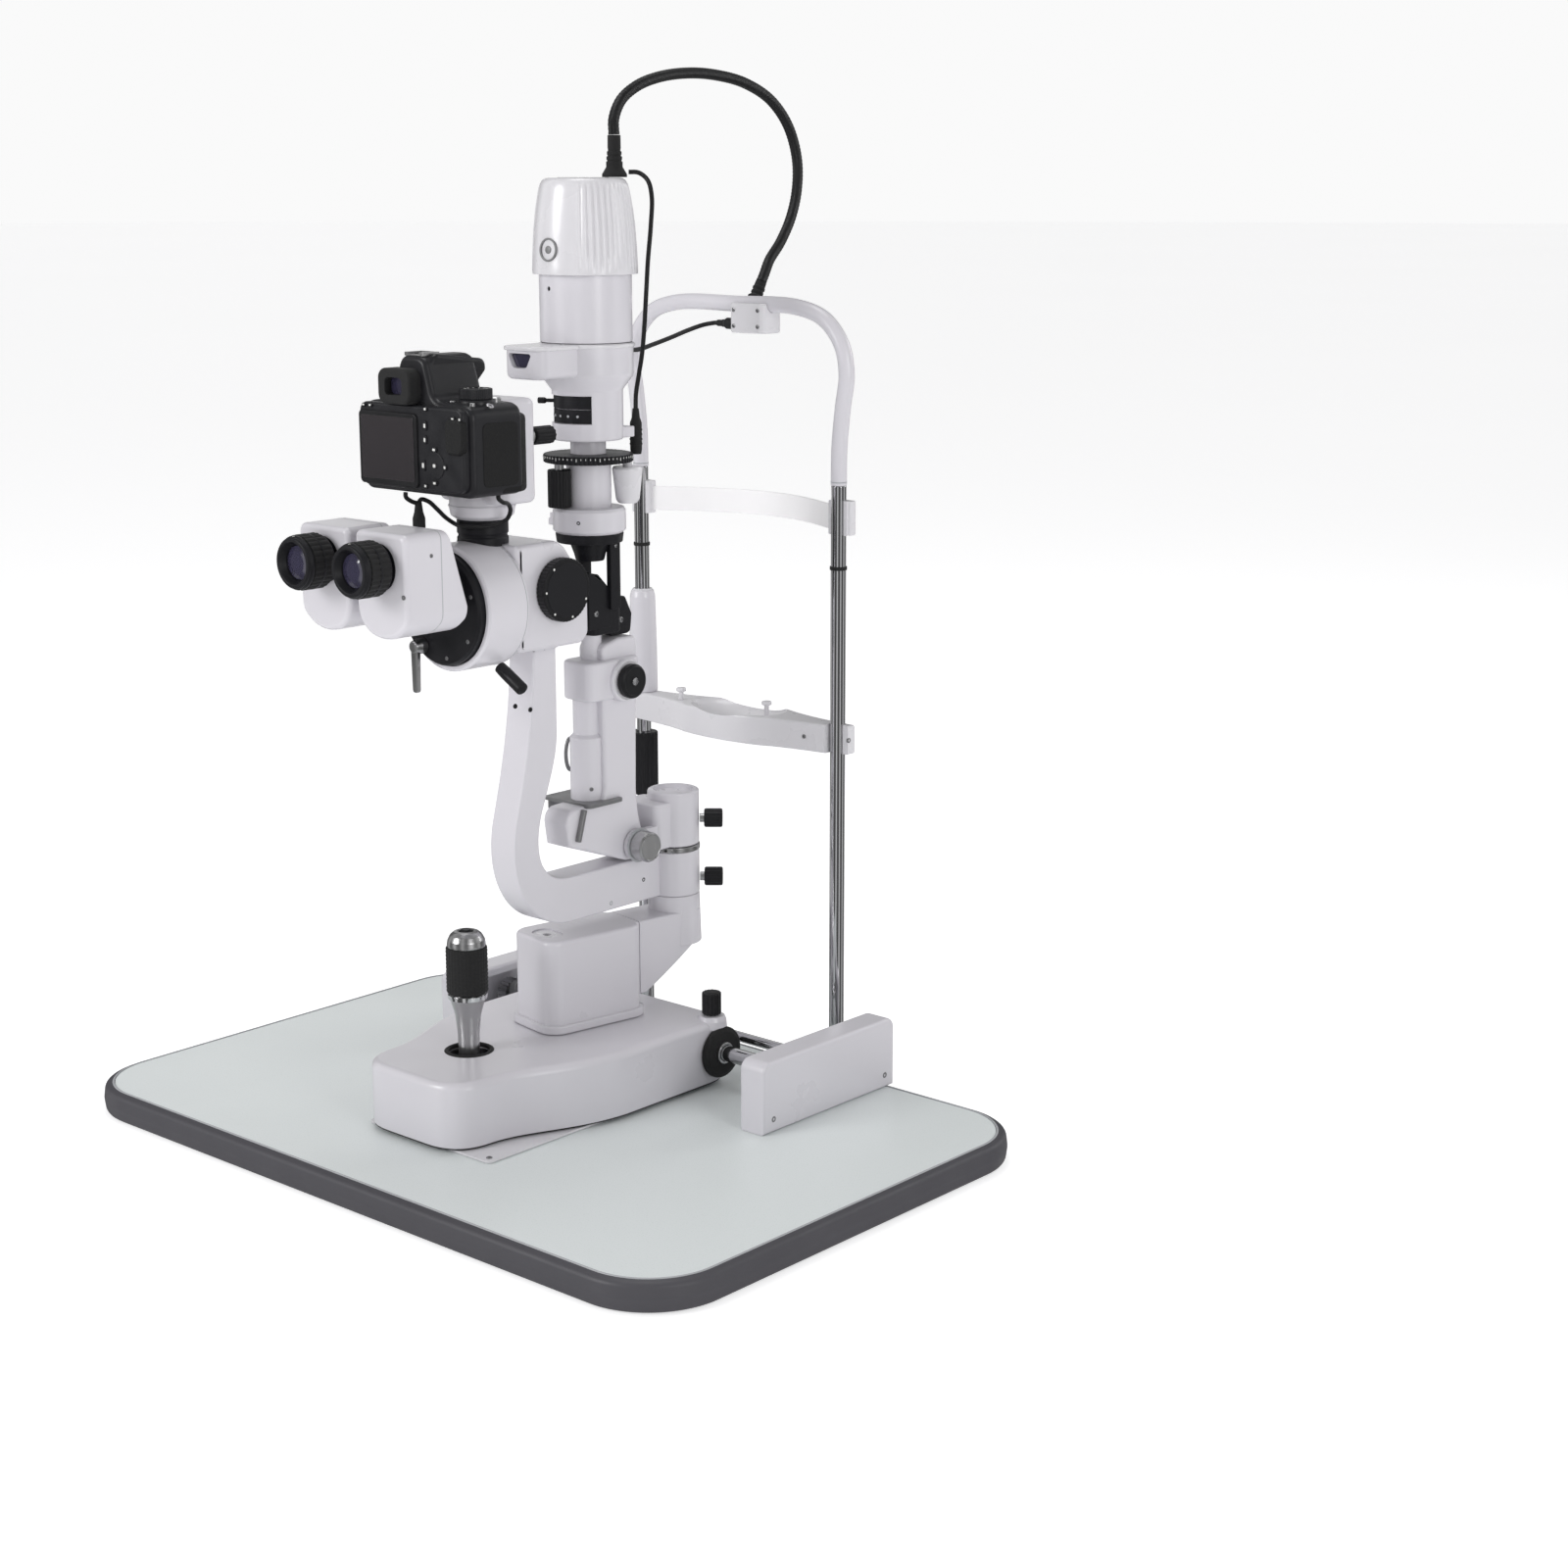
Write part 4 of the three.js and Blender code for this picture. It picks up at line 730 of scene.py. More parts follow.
def cable_block():
    body = block(3, 43, POST_Y - 13, POST_Y + 13, 650, 676, 5, 1.8)
    channel = tube(arch_line(), 7.3, 28)
    piece("junction_block", cut(body, channel), "moulded", "table", "cable_block")
    gland = [(0, -6), (7, -6), (7, 3.6, 1), (5.0, 5.4, 0.6), (5.0, 6.4), (5.6, 7.2), (5.6, 8.6), (5.0, 9.4),
             (5.0, 10.6), (5.6, 11.4), (5.6, 12.8), (5.0, 13.6), (4.9, 18), (0, 18)]
    head = turned(gland, (14.5, POST_Y + 8, 677), (0, 0.5, 0.87), 36)
    piece("junction_gland", cut(head, tube(arch_line(), 7.3, 28)), "rubber", "table")
    socket = [(0, -3), (5, -3), (5, 13, 1.4), (3.0, 16, 0.6), (3.4, 17), (3.4, 18.2), (2.9, 19), (2.9, 24),
              (0, 24)]
    piece("junction_plug", turned(socket, (2.7, POST_Y, 657), -X, 32), "rubber", "table")
    screws("junction_screws", "table", [((x, POST_Y - 12.9, z), -Y, 2.0, 0.7) for x in (9, 37)
                                        for z in (656, 670)])


# ------------------------------------------------------------------ chinrest
def chinrest():
    y = POST_Y
    reach = POST_X + 13
    bar = (Outline(-reach, y + 8).line((-reach, y - 8)).quad(-70, y - 14, -46, y - 24)
           .quad(0, y - 34, 46, y - 24).quad(70, y - 14, reach, y - 8).line((reach, y + 8))
           .quad(80, y + 10, 45, y + 22).quad(0, y + 36, -45, y + 22).quad(-80, y + 10, -reach, y + 8))
    plate = slab(bar, 286, 312, 2.2, 1.6, steps=3)
    dish = bmesh.new()
    bmesh.ops.create_uvsphere(dish, u_segments=64, v_segments=32, radius=1)
    dish.transform(Matrix.Translation((0, y + 2, 315)) @ Matrix.Diagonal((52, 34, 15, 1)))
    under = block(-80, 80, y - 10, y + 10, 285, 295, 6)
    mouth = box(POST_X - 7, POST_X + 20, y - 20, y - 1.5, 280, 320)
    bores = [rod((s * POST_X, y, 250), (s * POST_X, y, 350), POST_R + 0.4) for s in (-1, 1)]
    piece("chin_tray", cut(plate, dish, under, mouth, *bores), "moulded", "chinrest", "chinrest")
    sleeve = [(POST_R + 0.5, 312.2), (13.4, 312.2, 0.6), (13, 350, 30), (11.8, 402, 2), (10.4, 408, 1.2),
              (POST_R + 0.5, 408, 0.5), (POST_R + 0.5, 312.2)]
    piece("chin_sleeve", turned(sleeve, (-POST_X, y, 0)), "enamel", "chinrest")
    lip = [(POST_R + 0.5, 404.5), (9.3, 404.5), (9.3, 409.4, 0.6), (POST_R + 0.5, 409.4, 0.4),
           (POST_R + 0.5, 404.5)]
    piece("chin_sleeve_bush", turned(lip, (-POST_X, y, 0)), "moulded", "chinrest")
    pins = []
    for x, y_pin, z_base in ((-62, 243.5, 310), (40, 247.5, 306)):
        stem = [(0, z_base), (2.2, z_base), (2.2, 319), (4.6, 320, 0.8), (4.6, 323, 1), (0, 323.4)]
        pins.append(turned(stem, (x, y_pin, 0), sides=28))
    piece("chin_paper_pins", joined(*pins), "moulded", "chinrest")
    screws("chin_screws", "chinrest", [((POST_X - 28, y - 13.2, 299), -Y, 2.0, 0.6),
                                       ((POST_X + 12.6, y, 299), X, 2.4, 0.8)], "grey")

    knob = Span("chin_height_knob")
    grip = slab(fluted(13, 0.8, 18), knob.z0, knob.z1, 1.2, steps=3)
    bore = rod((0, 0, knob.z0 - 5), (0, 0, knob.z1 + 5), POST_R + 0.3)
    grip = cut(grip, bore)
    grip.transform(Matrix.Translation((-POST_X, POST_Y, 0)))
    piece("chin_knob_grip", grip, "black", "chin_knob", "chin_height_knob")


# ------------------------------------------------------------------ carriage and base
BASE_X = -15


def base_outline(inward=0.0):
    f, b = 63 - inward, 99 - inward
    front, back = -143 + inward, 148 - inward
    r, rear = 38 - inward, 24 - inward / 2
    return (Outline(0, front).line((f - r, front)).quad(f, front, f, front + r)
            .cubic(f + 2, -66, b - 4, -40, b, 17).line((b, back - rear)).quad(b, back, b - rear, back)
            .line((-b + rear, back)).quad(-b, back, -b, back - rear).line((-b, 17))
            .cubic(-b + 4, -40, -f - 2, -66, -f, front + r).quad(-f, front, -f + r, front))


def carriage():
    shoulder = 176.5
    main = rod((-shoulder, AXLE_Y, AXLE_Z), (shoulder, AXLE_Y, AXLE_Z), AXLE_R, soft=0.6)
    piece("main_axle", main, "chrome", "carriage", "carriage_axle")
    ends = [rod((s * 176, AXLE_Y, AXLE_Z), (s * 190, AXLE_Y, AXLE_Z), 5.0, soft=0.5) for s in (-1, 1)]
    piece("axle_ends", joined(*ends), "satin", "carriage")
    guide = rod((-164, 161.5, 37), (164, 161.5, 37), 4.5, soft=0.4)
    piece("guide_bar", guide, "chrome", "carriage")
    for side, hand in ((1, "right"), (-1, "left")):
        x = side * 168.5
        link = slab(rectangle(120.8, 169.6, 21.8, 45.2, 6), x - 4, x + 4, 0.9, axis="x")
        piece(f"axle_link_{hand}", link, "grey", "carriage")
        screws(f"axle_link_screw_{hand}", "carriage", [((x, 147, 45), Z, 2.4, 1.2)])


def base():
    skin = slab(base_outline(), 4, 60, 7, 0.8, steps=6)
    skin.transform(Matrix.Translation((BASE_X, 0, 0)))
    inner = slab(base_outline(4), -14, 56)
    inner.transform(Matrix.Translation((BASE_X, 0, 0)))
    boss = turned([(0, 52), (13.6, 52), (13.0, 59, 2.4), (11.5, 63, 1.2), (0, 63)], (LOCK_X, LOCK_Y, 0))
    axle = rod((-160, AXLE_Y, AXLE_Z), (160, AXLE_Y, AXLE_Z), AXLE_R + 1)
    joystick = rod((JOY_X, JOY_Y, 40), (JOY_X, JOY_Y, 70), 18.8)
    column = rod((CARRIER_X, CARRIER_Y, 40), (CARRIER_X, CARRIER_Y, 70), 15)
    lock = rod((LOCK_X, LOCK_Y, 40), (LOCK_X, LOCK_Y, 70), 4.2)
    shell = cut(welded(cut(skin, inner), boss), axle, joystick, column, lock)
    piece("base_shell", shell, "enamel", "base", "base_housing")
    skirt = ring_sweep([(-1.2, 3.2), (-0.4, 3.2), (-0.4, 5), (-1.2, 5)], base_outline(0).points)
    skirt.transform(Matrix.Translation((BASE_X, 0, 0)))
    piece("base_skirt", skirt, "rubber", "base")
    for side, hand in ((1, "right"), (-1, "left")):
        x = BASE_X + side * 99.3
        wiper = [(AXLE_R + 0.6, 0), (20.5, 0, 0.6), (23, 1.2, 0.8), (23, 5.2, 1.4), (19, 6.6, 0.8),
                 (10, 6.6, 0.6), (AXLE_R + 0.6, 5.4, 0.4), (AXLE_R + 0.6, 0)]
        piece(f"axle_wiper_{hand}", turned(wiper, (x, AXLE_Y, AXLE_Z), (side, 0, 0)), "rubber", "base")
        bush = [(AXLE_R + 0.4, 5), (9.6, 5), (9.6, 9, 0.6), (AXLE_R + 0.4, 9, 0.3), (AXLE_R + 0.4, 5)]
        piece(f"axle_bush_{hand}", turned(bush, (x, AXLE_Y, AXLE_Z), (side, 0, 0)), "satin", "base")
    rim = [(17.4, 57.6), (17.4, 60.6, 0.4), (19.2, 61.2, 0.6), (21.2, 60.2, 0.5), (21.2, 59.2),
           (18.7, 59.2), (18.7, 57.6), (17.4, 57.6)]
    piece("joystick_bezel", turned(rim, (JOY_X, JOY_Y, 0)), "rubber", "base")
    well = [(14.8, 50), (18.6, 50), (18.6, 51.5), (14.8, 51.5), (14.8, 50)]
    piece("joystick_well", turned(well, (JOY_X, JOY_Y, 0)), "black", "base")
    knob = slab(fluted(8.6, 0.55, 14), 64, 84, 1.2, steps=3)
    knob.transform(Matrix.Translation((LOCK_X, LOCK_Y, 0)))
    piece("axle_lock_grip", knob, "black", "axle_lock", "axle_lock_knob")
    neck = rod((LOCK_X, LOCK_Y, 44), (LOCK_X, LOCK_Y, 65), 3.8)
    piece("axle_lock_stud", neck, "satin", "axle_lock")
    tip = turned([(0, 83.4), (6.2, 83.4), (6.2, 84.4, 0.5), (0, 84.4)], (LOCK_X, LOCK_Y, 0), sides=40)
    piece("axle_lock_cap", tip, "rubber", "axle_lock")


# ------------------------------------------------------------------ joystick
def knurled(z0, z1, radius, depth, count, pitch, origin):
    """A grip cut with crossing grooves."""
    sides = count * 4
    rows = int((z1 - z0) / (pitch / 4))
    rings = []
    for k in range(rows + 1):
        z = z0 + (z1 - z0) * k / rows
        band = 0.5 + 0.5 * math.cos(math.tau * (z - z0) / pitch)
        rim = min(1.0, min(z - z0, z1 - z) / 1.6)
        ring = []
        for i in range(sides):
            angle = math.tau * i / sides
            column = 0.5 + 0.5 * math.cos(count * angle)
            r = radius - depth * max(band ** 3, column ** 3) - 1.0 * (1 - rim) ** 2
            ring.append((origin[0] + r * math.cos(angle), origin[1] + r * math.sin(angle), z))
        rings.append(ring)
    return skinned(rings)


def joystick():
    at = (JOY_X, JOY_Y, 0)
    ball = [(0, 8), (6, 10, 3), (11, 16, 5), (12, 22, 6), (10.5, 28, 4), (8, 31.5)]
    stem = [(9, 60, 20), (9.3, 76, 30), (11, 92, 30), (15.5, 108, 6), (16, 111.4, 0.6), (6, 111.4),
            (6, 156), (0, 156)]
    piece("joystick_shaft", turned([*ball, *stem], at, sides=72), "satin", "joystick", "joystick_stem")
    skirt = [(9.2, 47.5), (13.6, 47.5, 0.5), (13.2, 49.5, 0.8), (10.4, 54.5, 1.0), (9.3, 57), (9.0, 57),
             (9.2, 47.5)]
    piece("joystick_boot", turned(skirt, at), "rubber", "joystick")
    ring = [(15.2, 106.6), (16.6, 106.6, 0.4), (16.9, 110.8, 0.4), (15.2, 111.2), (15.2, 106.6)]
    piece("joystick_ferrule", turned(ring, at), "chrome", "joystick")
    grip = Span("joystick_grip")
    rubber = knurled(grip.z0 + 0.1, 152, 17.7, 0.55, 34, 3.4, at)
    bore = rod((JOY_X, JOY_Y, 100), (JOY_X, JOY_Y, 170), 6.4)
    piece("joystick_rubber", cut(rubber, bore), "rubber", "grip", "joystick_grip", corner=60)
    cap = [(6.3, 152.2), (16.2, 152.2, 0.5), (16.4, 154, 1.5), (15.8, 158, 4), (13.6, 162.4, 4),
           (10.6, 165, 2), (7.4, 165.8, 0.6), (6.3, 165.2, 0.3), (6.3, 152.2)]
    piece("joystick_cap", turned(cap, at), "satin", "grip")
    button = Span("joystick_button")
    rise = max(button.z1, 166.6)
    push = [(0, button.z0), (5.5, button.z0), (5.5, rise - 1.6, 0.8), (3.6, rise, 1.2), (0, rise - 0.5)]
    piece("joystick_push", turned(push, at, sides=48), "black", "release_button", "joystick_button")
    dress("joystick_gimbal", "satin")


# ------------------------------------------------------------------ elevator and swivel
def elevator():
    place = Matrix.Translation((CARRIER_X, CARRIER_Y, 0)) @ Matrix.Rotation(math.radians(CARRIER_TURN), 4,
                                                                            "Z")
    reach, top = 105.5, 143

    def placed(bm):
        bm.transform(place)
        return bm

    flange = block(-35, 35, -54, 54, 60.5, 68, 18, 1.6)
    tower = block(-31, 31, -50, 50, 62, top, 14, 4)
    wedge = (Outline(40, 76).line((58, 76)).quad(86, 92, reach + 14, 118).line((reach + 14, top), (40, top)))
    bracket = slab(wedge, -22, 22, 2.5, axis="x")
    head = rod((0, reach, 112), (0, reach, 157.2), PIVOT_R + 1.5, PIVOT_R, 1.0)
    groove = cut(box(-40, 40, 50.4, 51.4, 40, 160), box(-20.5, 20.5, 50, 52, 60, top - 1.2))
    well = block(-15, 15, -43, -21, top - 2.4, top + 5, 10.9)
    hole = rod((0, -32, top - 12), (0, -32, top + 1), 3.6)
    bore = rod((0, 0, 40), (0, 0, 138), 14.3)
    socket = rod((0, reach, 118), (0, reach, 170), 12.3)
    shell = cut(welded(flange, tower, bracket, head), groove, well, hole, bore, socket)
    piece("carrier_casting", placed(shell), "enamel", "elevator", "elevator_carrier")
    plate = cut(block(-14.6, 14.6, -42.6, -21.4, top - 2.3, top - 1.3, 10.5, 0.3),
                rod((0, -32, 120), (0, -32, 150), 3.8))
    piece("carrier_top_plate", placed(plate), "moulded", "elevator")
    piece("carrier_plug", placed(turned([(0, top - 6), (3.4, top - 6), (3.4, top - 2.6, 0.5),
                                         (0, top - 2.6)], (0, -32, 0), sides=28)), "black", "elevator")
    shaft = Span("lift_column")
    piece("lift_tube", placed(turned([(0, shaft.z0), (14, shaft.z0, 0.6), (14, shaft.z1, 0.6),
                                      (0, shaft.z1)])), "chrome", "elevator", "lift_column")
    swivel = Span("swivel_shaft")
    stem = rod((0, reach, swivel.z0), (0, reach, swivel.z1), 12, soft=0.8)
    socket = slab(circle(0, reach, 5.2, 6), swivel.z1 - 5, swivel.z1 + 2)
    piece("swivel_post", placed(cut(stem, socket)), "steel", "elevator", "swivel_shaft")
    gap = rod((14, reach - 30, 200), (14, reach, 200), 1.2)
    collar = turned([(12.2, 197.8), (PIVOT_R + 0.7, 197.8, 0.5), (PIVOT_R + 0.7, 202.2, 0.5), (12.2, 202.2),
                     (12.2, 197.8)], (0, reach, 0))
    piece("swivel_clamp_ring", placed(cut(collar, gap)), "satin", "elevator")
    side = Vector((math.cos(math.radians(-52)), math.sin(math.radians(-52)), 0))
    at = Vector((PIVOT_X, PIVOT_Y, 200)) + side * (PIVOT_R + 0.6)
    screws("swivel_ring_screw", "elevator", [(at, side, 2.0, 1.0)])


def lock_knob(node, body, name):
    """A fluted thumb screw that points away from the swivel column."""
    out = Vector((math.cos(math.radians(41)), math.sin(math.radians(41)), 0))
    at = Vector((PIVOT_X, PIVOT_Y, Span(node).cz)) + out * (PIVOT_R + 0.6)
    grip = aimed(slab(fluted(8.5, 0.6, 12), 4, 20.5, 1.6, steps=3), at, out)
    piece(f"{name}_grip", grip, "black", body, node)
    stud = aimed(turned([(0, 0), (4, 0, 0.3), (4, 4.4), (0, 4.4)], sides=32), at, out)
    piece(f"{name}_stud", stud, "satin", body)


# ------------------------------------------------------------------ microscope
def scope_arm():
    shape = (Outline(-7, 404).line((-9, 388)).cubic(-12, 330, -24, 285, -33, 252, 26)
             .cubic(-44, 200, -16, 157.6, 31, 157.6, 26).line((PIVOT_Y, 157.6), (PIVOT_Y, 197.4),
                                                              (26, 197.4))
             .cubic(-8, 200, -12, 232, -1, 262, 22).cubic(12, 295, 17.5, 310, 17.5, 330, 18)
             .line((17.5, 404)))
    limb = slab(shape, SCOPE_X - 15, SCOPE_X + 15, 1.9, axis="x")
    hub = rod((PIVOT_X, PIVOT_Y, 157.5), (PIVOT_X, PIVOT_Y, 197.5), PIVOT_R, soft=1.0)
    bore = rod((PIVOT_X, PIVOT_Y, 150), (PIVOT_X, PIVOT_Y, 205), 12.3)
    piece("scope_limb", cut(welded(limb, hub), bore), "enamel", "microscope", "scope_arm")
    face = SCOPE_X + 15
    holes = [((face - 0.4, y, z), X, 2.1, 0.55) for y, z in ((-30, 356), (-13, 350.5), (119, 177))]
    screws("scope_limb_screws", "microscope", holes, "black")
    screws("scope_limb_cover_screw", "microscope", [((face - 0.3, 78, 164), X, 2.2, 0.5)], "bead")


def scope_body():
    shape = rounded([(-46, 404.3, 3), (28, 404.3, 8), (35, 412, 8), (35, 452, 12), (9, 487, 10), (0, 493, 12),
                     (-46, 493, 3)], steps=7)
    body = slab(shape, -45, 31, 5, axis="x", steps=5)
    shaft = rod((-60, 0, ZOOM_Z), (50, 0, ZOOM_Z), 6.4)
    piece("zoom_body", cut(body, shaft), "enamel", "microscope", "scope_body")
    collar = slab(rectangle(-25, 11, -12, 21, 7), 399.5, 404.6, 1.2)
    piece("zoom_body_seat", collar, "enamel", "microscope")
    screws("zoom_body_screws", "microscope", [((8, y, 400.5), Vector((1, 0, -0.2)), 1.7, 0.8)
                                              for y in (-8, 4, 16)], "black")
    wedge = slab(rounded([(35.1, 412, 1), (43, 412, 1.5), (43, 464, 1.5), (35.1, 470, 1)]), -32, 18, 2,
                 axis="x")
    hood = cut(wedge, rod((SCOPE_X, 39, 442), (SCOPE_X, 60, 442), 15))
    piece("objective_shade", hood, "anodised", "microscope", "objective_hood")
    lens = turned([(0, 0), (14.8, 0), (14.8, 1.2, 0.3), (9, 2.4, 3), (0, 3.0)], (SCOPE_X, 38.9, 442), Y)
    piece("objective_lens", lens, "glass", "microscope")
    for side, hand in ((1, "right"), (-1, "left")):
        x = 31.4 if side > 0 else -45.4
        disc = aimed(slab(fluted(26.5, 0.5, 48, 4), 0, 9.3, 1.2, steps=3), (x, 0, ZOOM_Z), (side, 0, 0))
        extra = ("magnification_knob",) if side > 0 else ()
        piece(f"zoom_disc_{hand}", disc, "black", "magnification", extra)
        face = turned([(0, 9.1), (22.5, 9.1), (22.5, 9.7, 0.3), (0, 9.7)], (x, 0, ZOOM_Z), (side, 0, 0))
        piece(f"zoom_face_{hand}", face, "anodised", "magnification")
        ticks = []
        for degrees in (128, 180, 232, 284, 336):
            a = math.radians(degrees)
            y, z = 23.4 * math.cos(a), ZOOM_Z + 23.4 * math.sin(a)
            ticks.append(slab(circle(y, z, 1.0, 16), *sorted((x + side * 9.2, x + side * 9.55)), axis="x"))
        piece(f"zoom_ticks_{hand}", joined(*ticks), "ink", "magnification")
    spindle = rod((-46, 0, ZOOM_Z), (32, 0, ZOOM_Z), 6)
    piece("zoom_spindle", spindle, "steel", "magnification")


def drum():
    y0, y1, r = -90, -46.3, 52
    shell = [(0, -y1), (r, -y1, 1.5), (r, -y0 - 1.6, 1.4), (r - 1.6, -y0, 0.8), (47.4, -y0, 0.6),
             (46.8, -y0 - 3), (0, -y0 - 3)]
    piece("drum_shell", turned(shell, (SCOPE_X, 0, SCOPE_Z), -Y, 112), "enamel", "microscope", "scope_drum")
    seam = [(r + 0.02, -y1 + 2), (r + 0.18, -y1 + 2.2), (r + 0.18, -y1 + 2.6), (r + 0.02, -y1 + 2.8),
            (r + 0.02, -y1 + 2)]
    piece("drum_seam", turned(seam, (SCOPE_X, 0, SCOPE_Z), -Y, 112), "bead", "microscope")
    plate = [(0, 87.3), (46.5, 87.3), (46.5, 94.5, 0.8), (44.6, 97, 1.2), (0, 97)]
    piece("drum_face", turned(plate, (SCOPE_X, 0, SCOPE_Z), -Y, 112), "anodised", "microscope", "drum_plate")
    for x, hand in ((9, "right"), (-23, "left")):
        barrel = [(0, 92), (15, 92), (15, 99, 0.5), (14.4, 100), (14.4, 101.4), (15, 102.4, 0.4),
                  (15, 121.7, 0.6), (0, 121.7)]
        piece(f"prism_bearing_{hand}", turned(barrel, (x, 0, 462), -Y), "anodised", "microscope")
    socket = [(0, 470), (6.5, 470), (6.5, 481.2, 0.8), (0, 482)]
    piece("lead_socket", turned(socket, (-16, -108, 0), sides=40), "black", "microscope")
    rim = [((SCOPE_X + 40 * math.cos(a), -96.9, SCOPE_Z + 40 * math.sin(a)), -Y, 1.8, 0.7)
           for a in map(math.radians, (-35, -80, -145, 20))]
    screws("drum_screws", "microscope", rim, "grey")

    lever = rounded([(-31, 374, 2.6), (-25, 374, 2.6), (-24, 412, 3), (-32, 412, 3)], steps=6)
    blade = slab(lever, -107.8, -103.2, 1.2, axis="y")
    piece("splitter_blade", blade, "satin", "splitter", "splitter_lever")
    hub = turned([(0, 97.3), (6.4, 97.3), (6.4, 102.6, 0.8), (5, 108.4, 1.4), (0, 108.8)], (-28, 0, 412),
                 -Y, 48)
    piece("splitter_hub", hub, "satin", "splitter")
    start, end = Vector((18, -56, 394)), Vector((47, -56, 377))
    handle = aimed(turned([(0, 0), (5.0, 0, 0.8), (5.4, 8, 2), (5.4, (end - start).length - 3, 1.6),
                           (0, (end - start).length)], sides=40), start, end - start)
    piece("filter_handle", handle, "black", "microscope")


def prism_outline(side, centre):
    half, z0, z1 = 30, 434.5, 518
    shape = (Outline(-half + 6, z1).quad(-half, z1, -half, z1 - 6).line((-half, z0 + 28))
             .cubic(-half, z0 + 8, -half + 14, z0, 0, z0).cubic(10, z0, 18, z0 + 3.5, half - 6, z0 + 9)
             .quad(half, z0 + 13, half, z0 + 22).line((half, z1 - 8)).quad(half, z1, half - 8, z1))
    return [(centre + side * x, z) for x, z in shape.points]


def prisms():
    """The two prism boxes, whose backs slope forward above their bearings."""
    for side, hand, centre, eye in ((1, "right", 27, EYE_RIGHT), (-1, "left", -41, EYE_LEFT)):
        body = f"prism_{hand}"
        shell = slab(prism_outline(side, centre), -186, -122, 4.5, axis="y", steps=5)
        for vert in shell.verts:
            height, backness = max(0, vert.co.z - 474), max(0, vert.co.y + 160) / 38
            vert.co.y -= 0.46 * height * backness
        piece(f"prism_shell_{hand}", shell, "enamel", body, f"prism_box_{hand}")
        seam = skinned([[(x, y, z) for x, z in inset(prism_outline(side, centre), d)] for d,
                        y in ((0.4, -150.2), (-0.12, -150.2), (-0.12, -149.5), (0.4, -149.5))], looped=True)
        piece(f"prism_seam_{hand}", seam, "bead", body)
        seat = turned([(0, 185.2), (18.5, 185.2), (18.5, 186.6, 0.4), (0, 186.6)], (eye, 0, EYE_Z), -Y)
        piece(f"eyepiece_seat_{hand}", seat, "anodised", body)
        screws(f"prism_screws_{hand}", body, [((centre + side * 26, -185.8, 470), -Y, 1.9, 0.7),
                                              ((centre + side * 29.9, -160, 500), (side, 0, 0), 1.7, 0.5)],
               "grey")
        eyepiece(hand, eye, f"ocular_{hand}")


def eyepiece(hand, x, body):
    at = (x, 0, EYE_Z)
    barrel = [(0, 186.8), (16, 186.8, 0.4), (16, 189.4), (20.8, 190.9, 0.8), (20.8, 192.2), (18.6, 192.4),
              (18.6, 211.6), (21.4, 211.8, 0.5), (21.4, 213.6, 0.6), (20.2, 215.4, 0.5), (20.2, 216.2),
              (19.2, 217.4, 0.8), (16.8, 217.4, 0.6), (14, 212.2, 0.5), (13.6, 210.4), (0, 210.4)]
    piece(f"eyepiece_barrel_{hand}", turned(barrel, at, -Y, 96), "anodised", body, f"eyepiece_{hand}")
    ring = cut(slab(fluted(22, 0.7, 30), 192.6, 211.4, 0.8, steps=2), rod((0, 0, 180), (0, 0, 225), 18.7))
    piece(f"eyepiece_grip_{hand}", aimed(ring, at, -Y), "rubber", body)
    groove = [(18.9, 200.6), (22.05, 200.9, 0.3), (22.05, 202.9, 0.3), (18.9, 203.2), (18.9, 200.6)]
    piece(f"eyepiece_band_{hand}", turned(groove, at, -Y, 96), "anodised", body)
    lens = [(0, 210.4), (13.4, 210.4), (13.4, 211.2, 0.3), (8, 212.6, 4), (0, 213.0)]
    piece(f"eyepiece_lens_{hand}", turned(lens, at, -Y, 72), "glass", body)
    mark = slab(rectangle(-0.5, 0.5, -1.6, 1.6, 0.3, 2), 0, 0.3)
    mark.transform(Matrix.Translation((x, -214.3, EYE_Z + 20.9)))
    piece(f"eyepiece_mark_{hand}", mark, "ink", body)


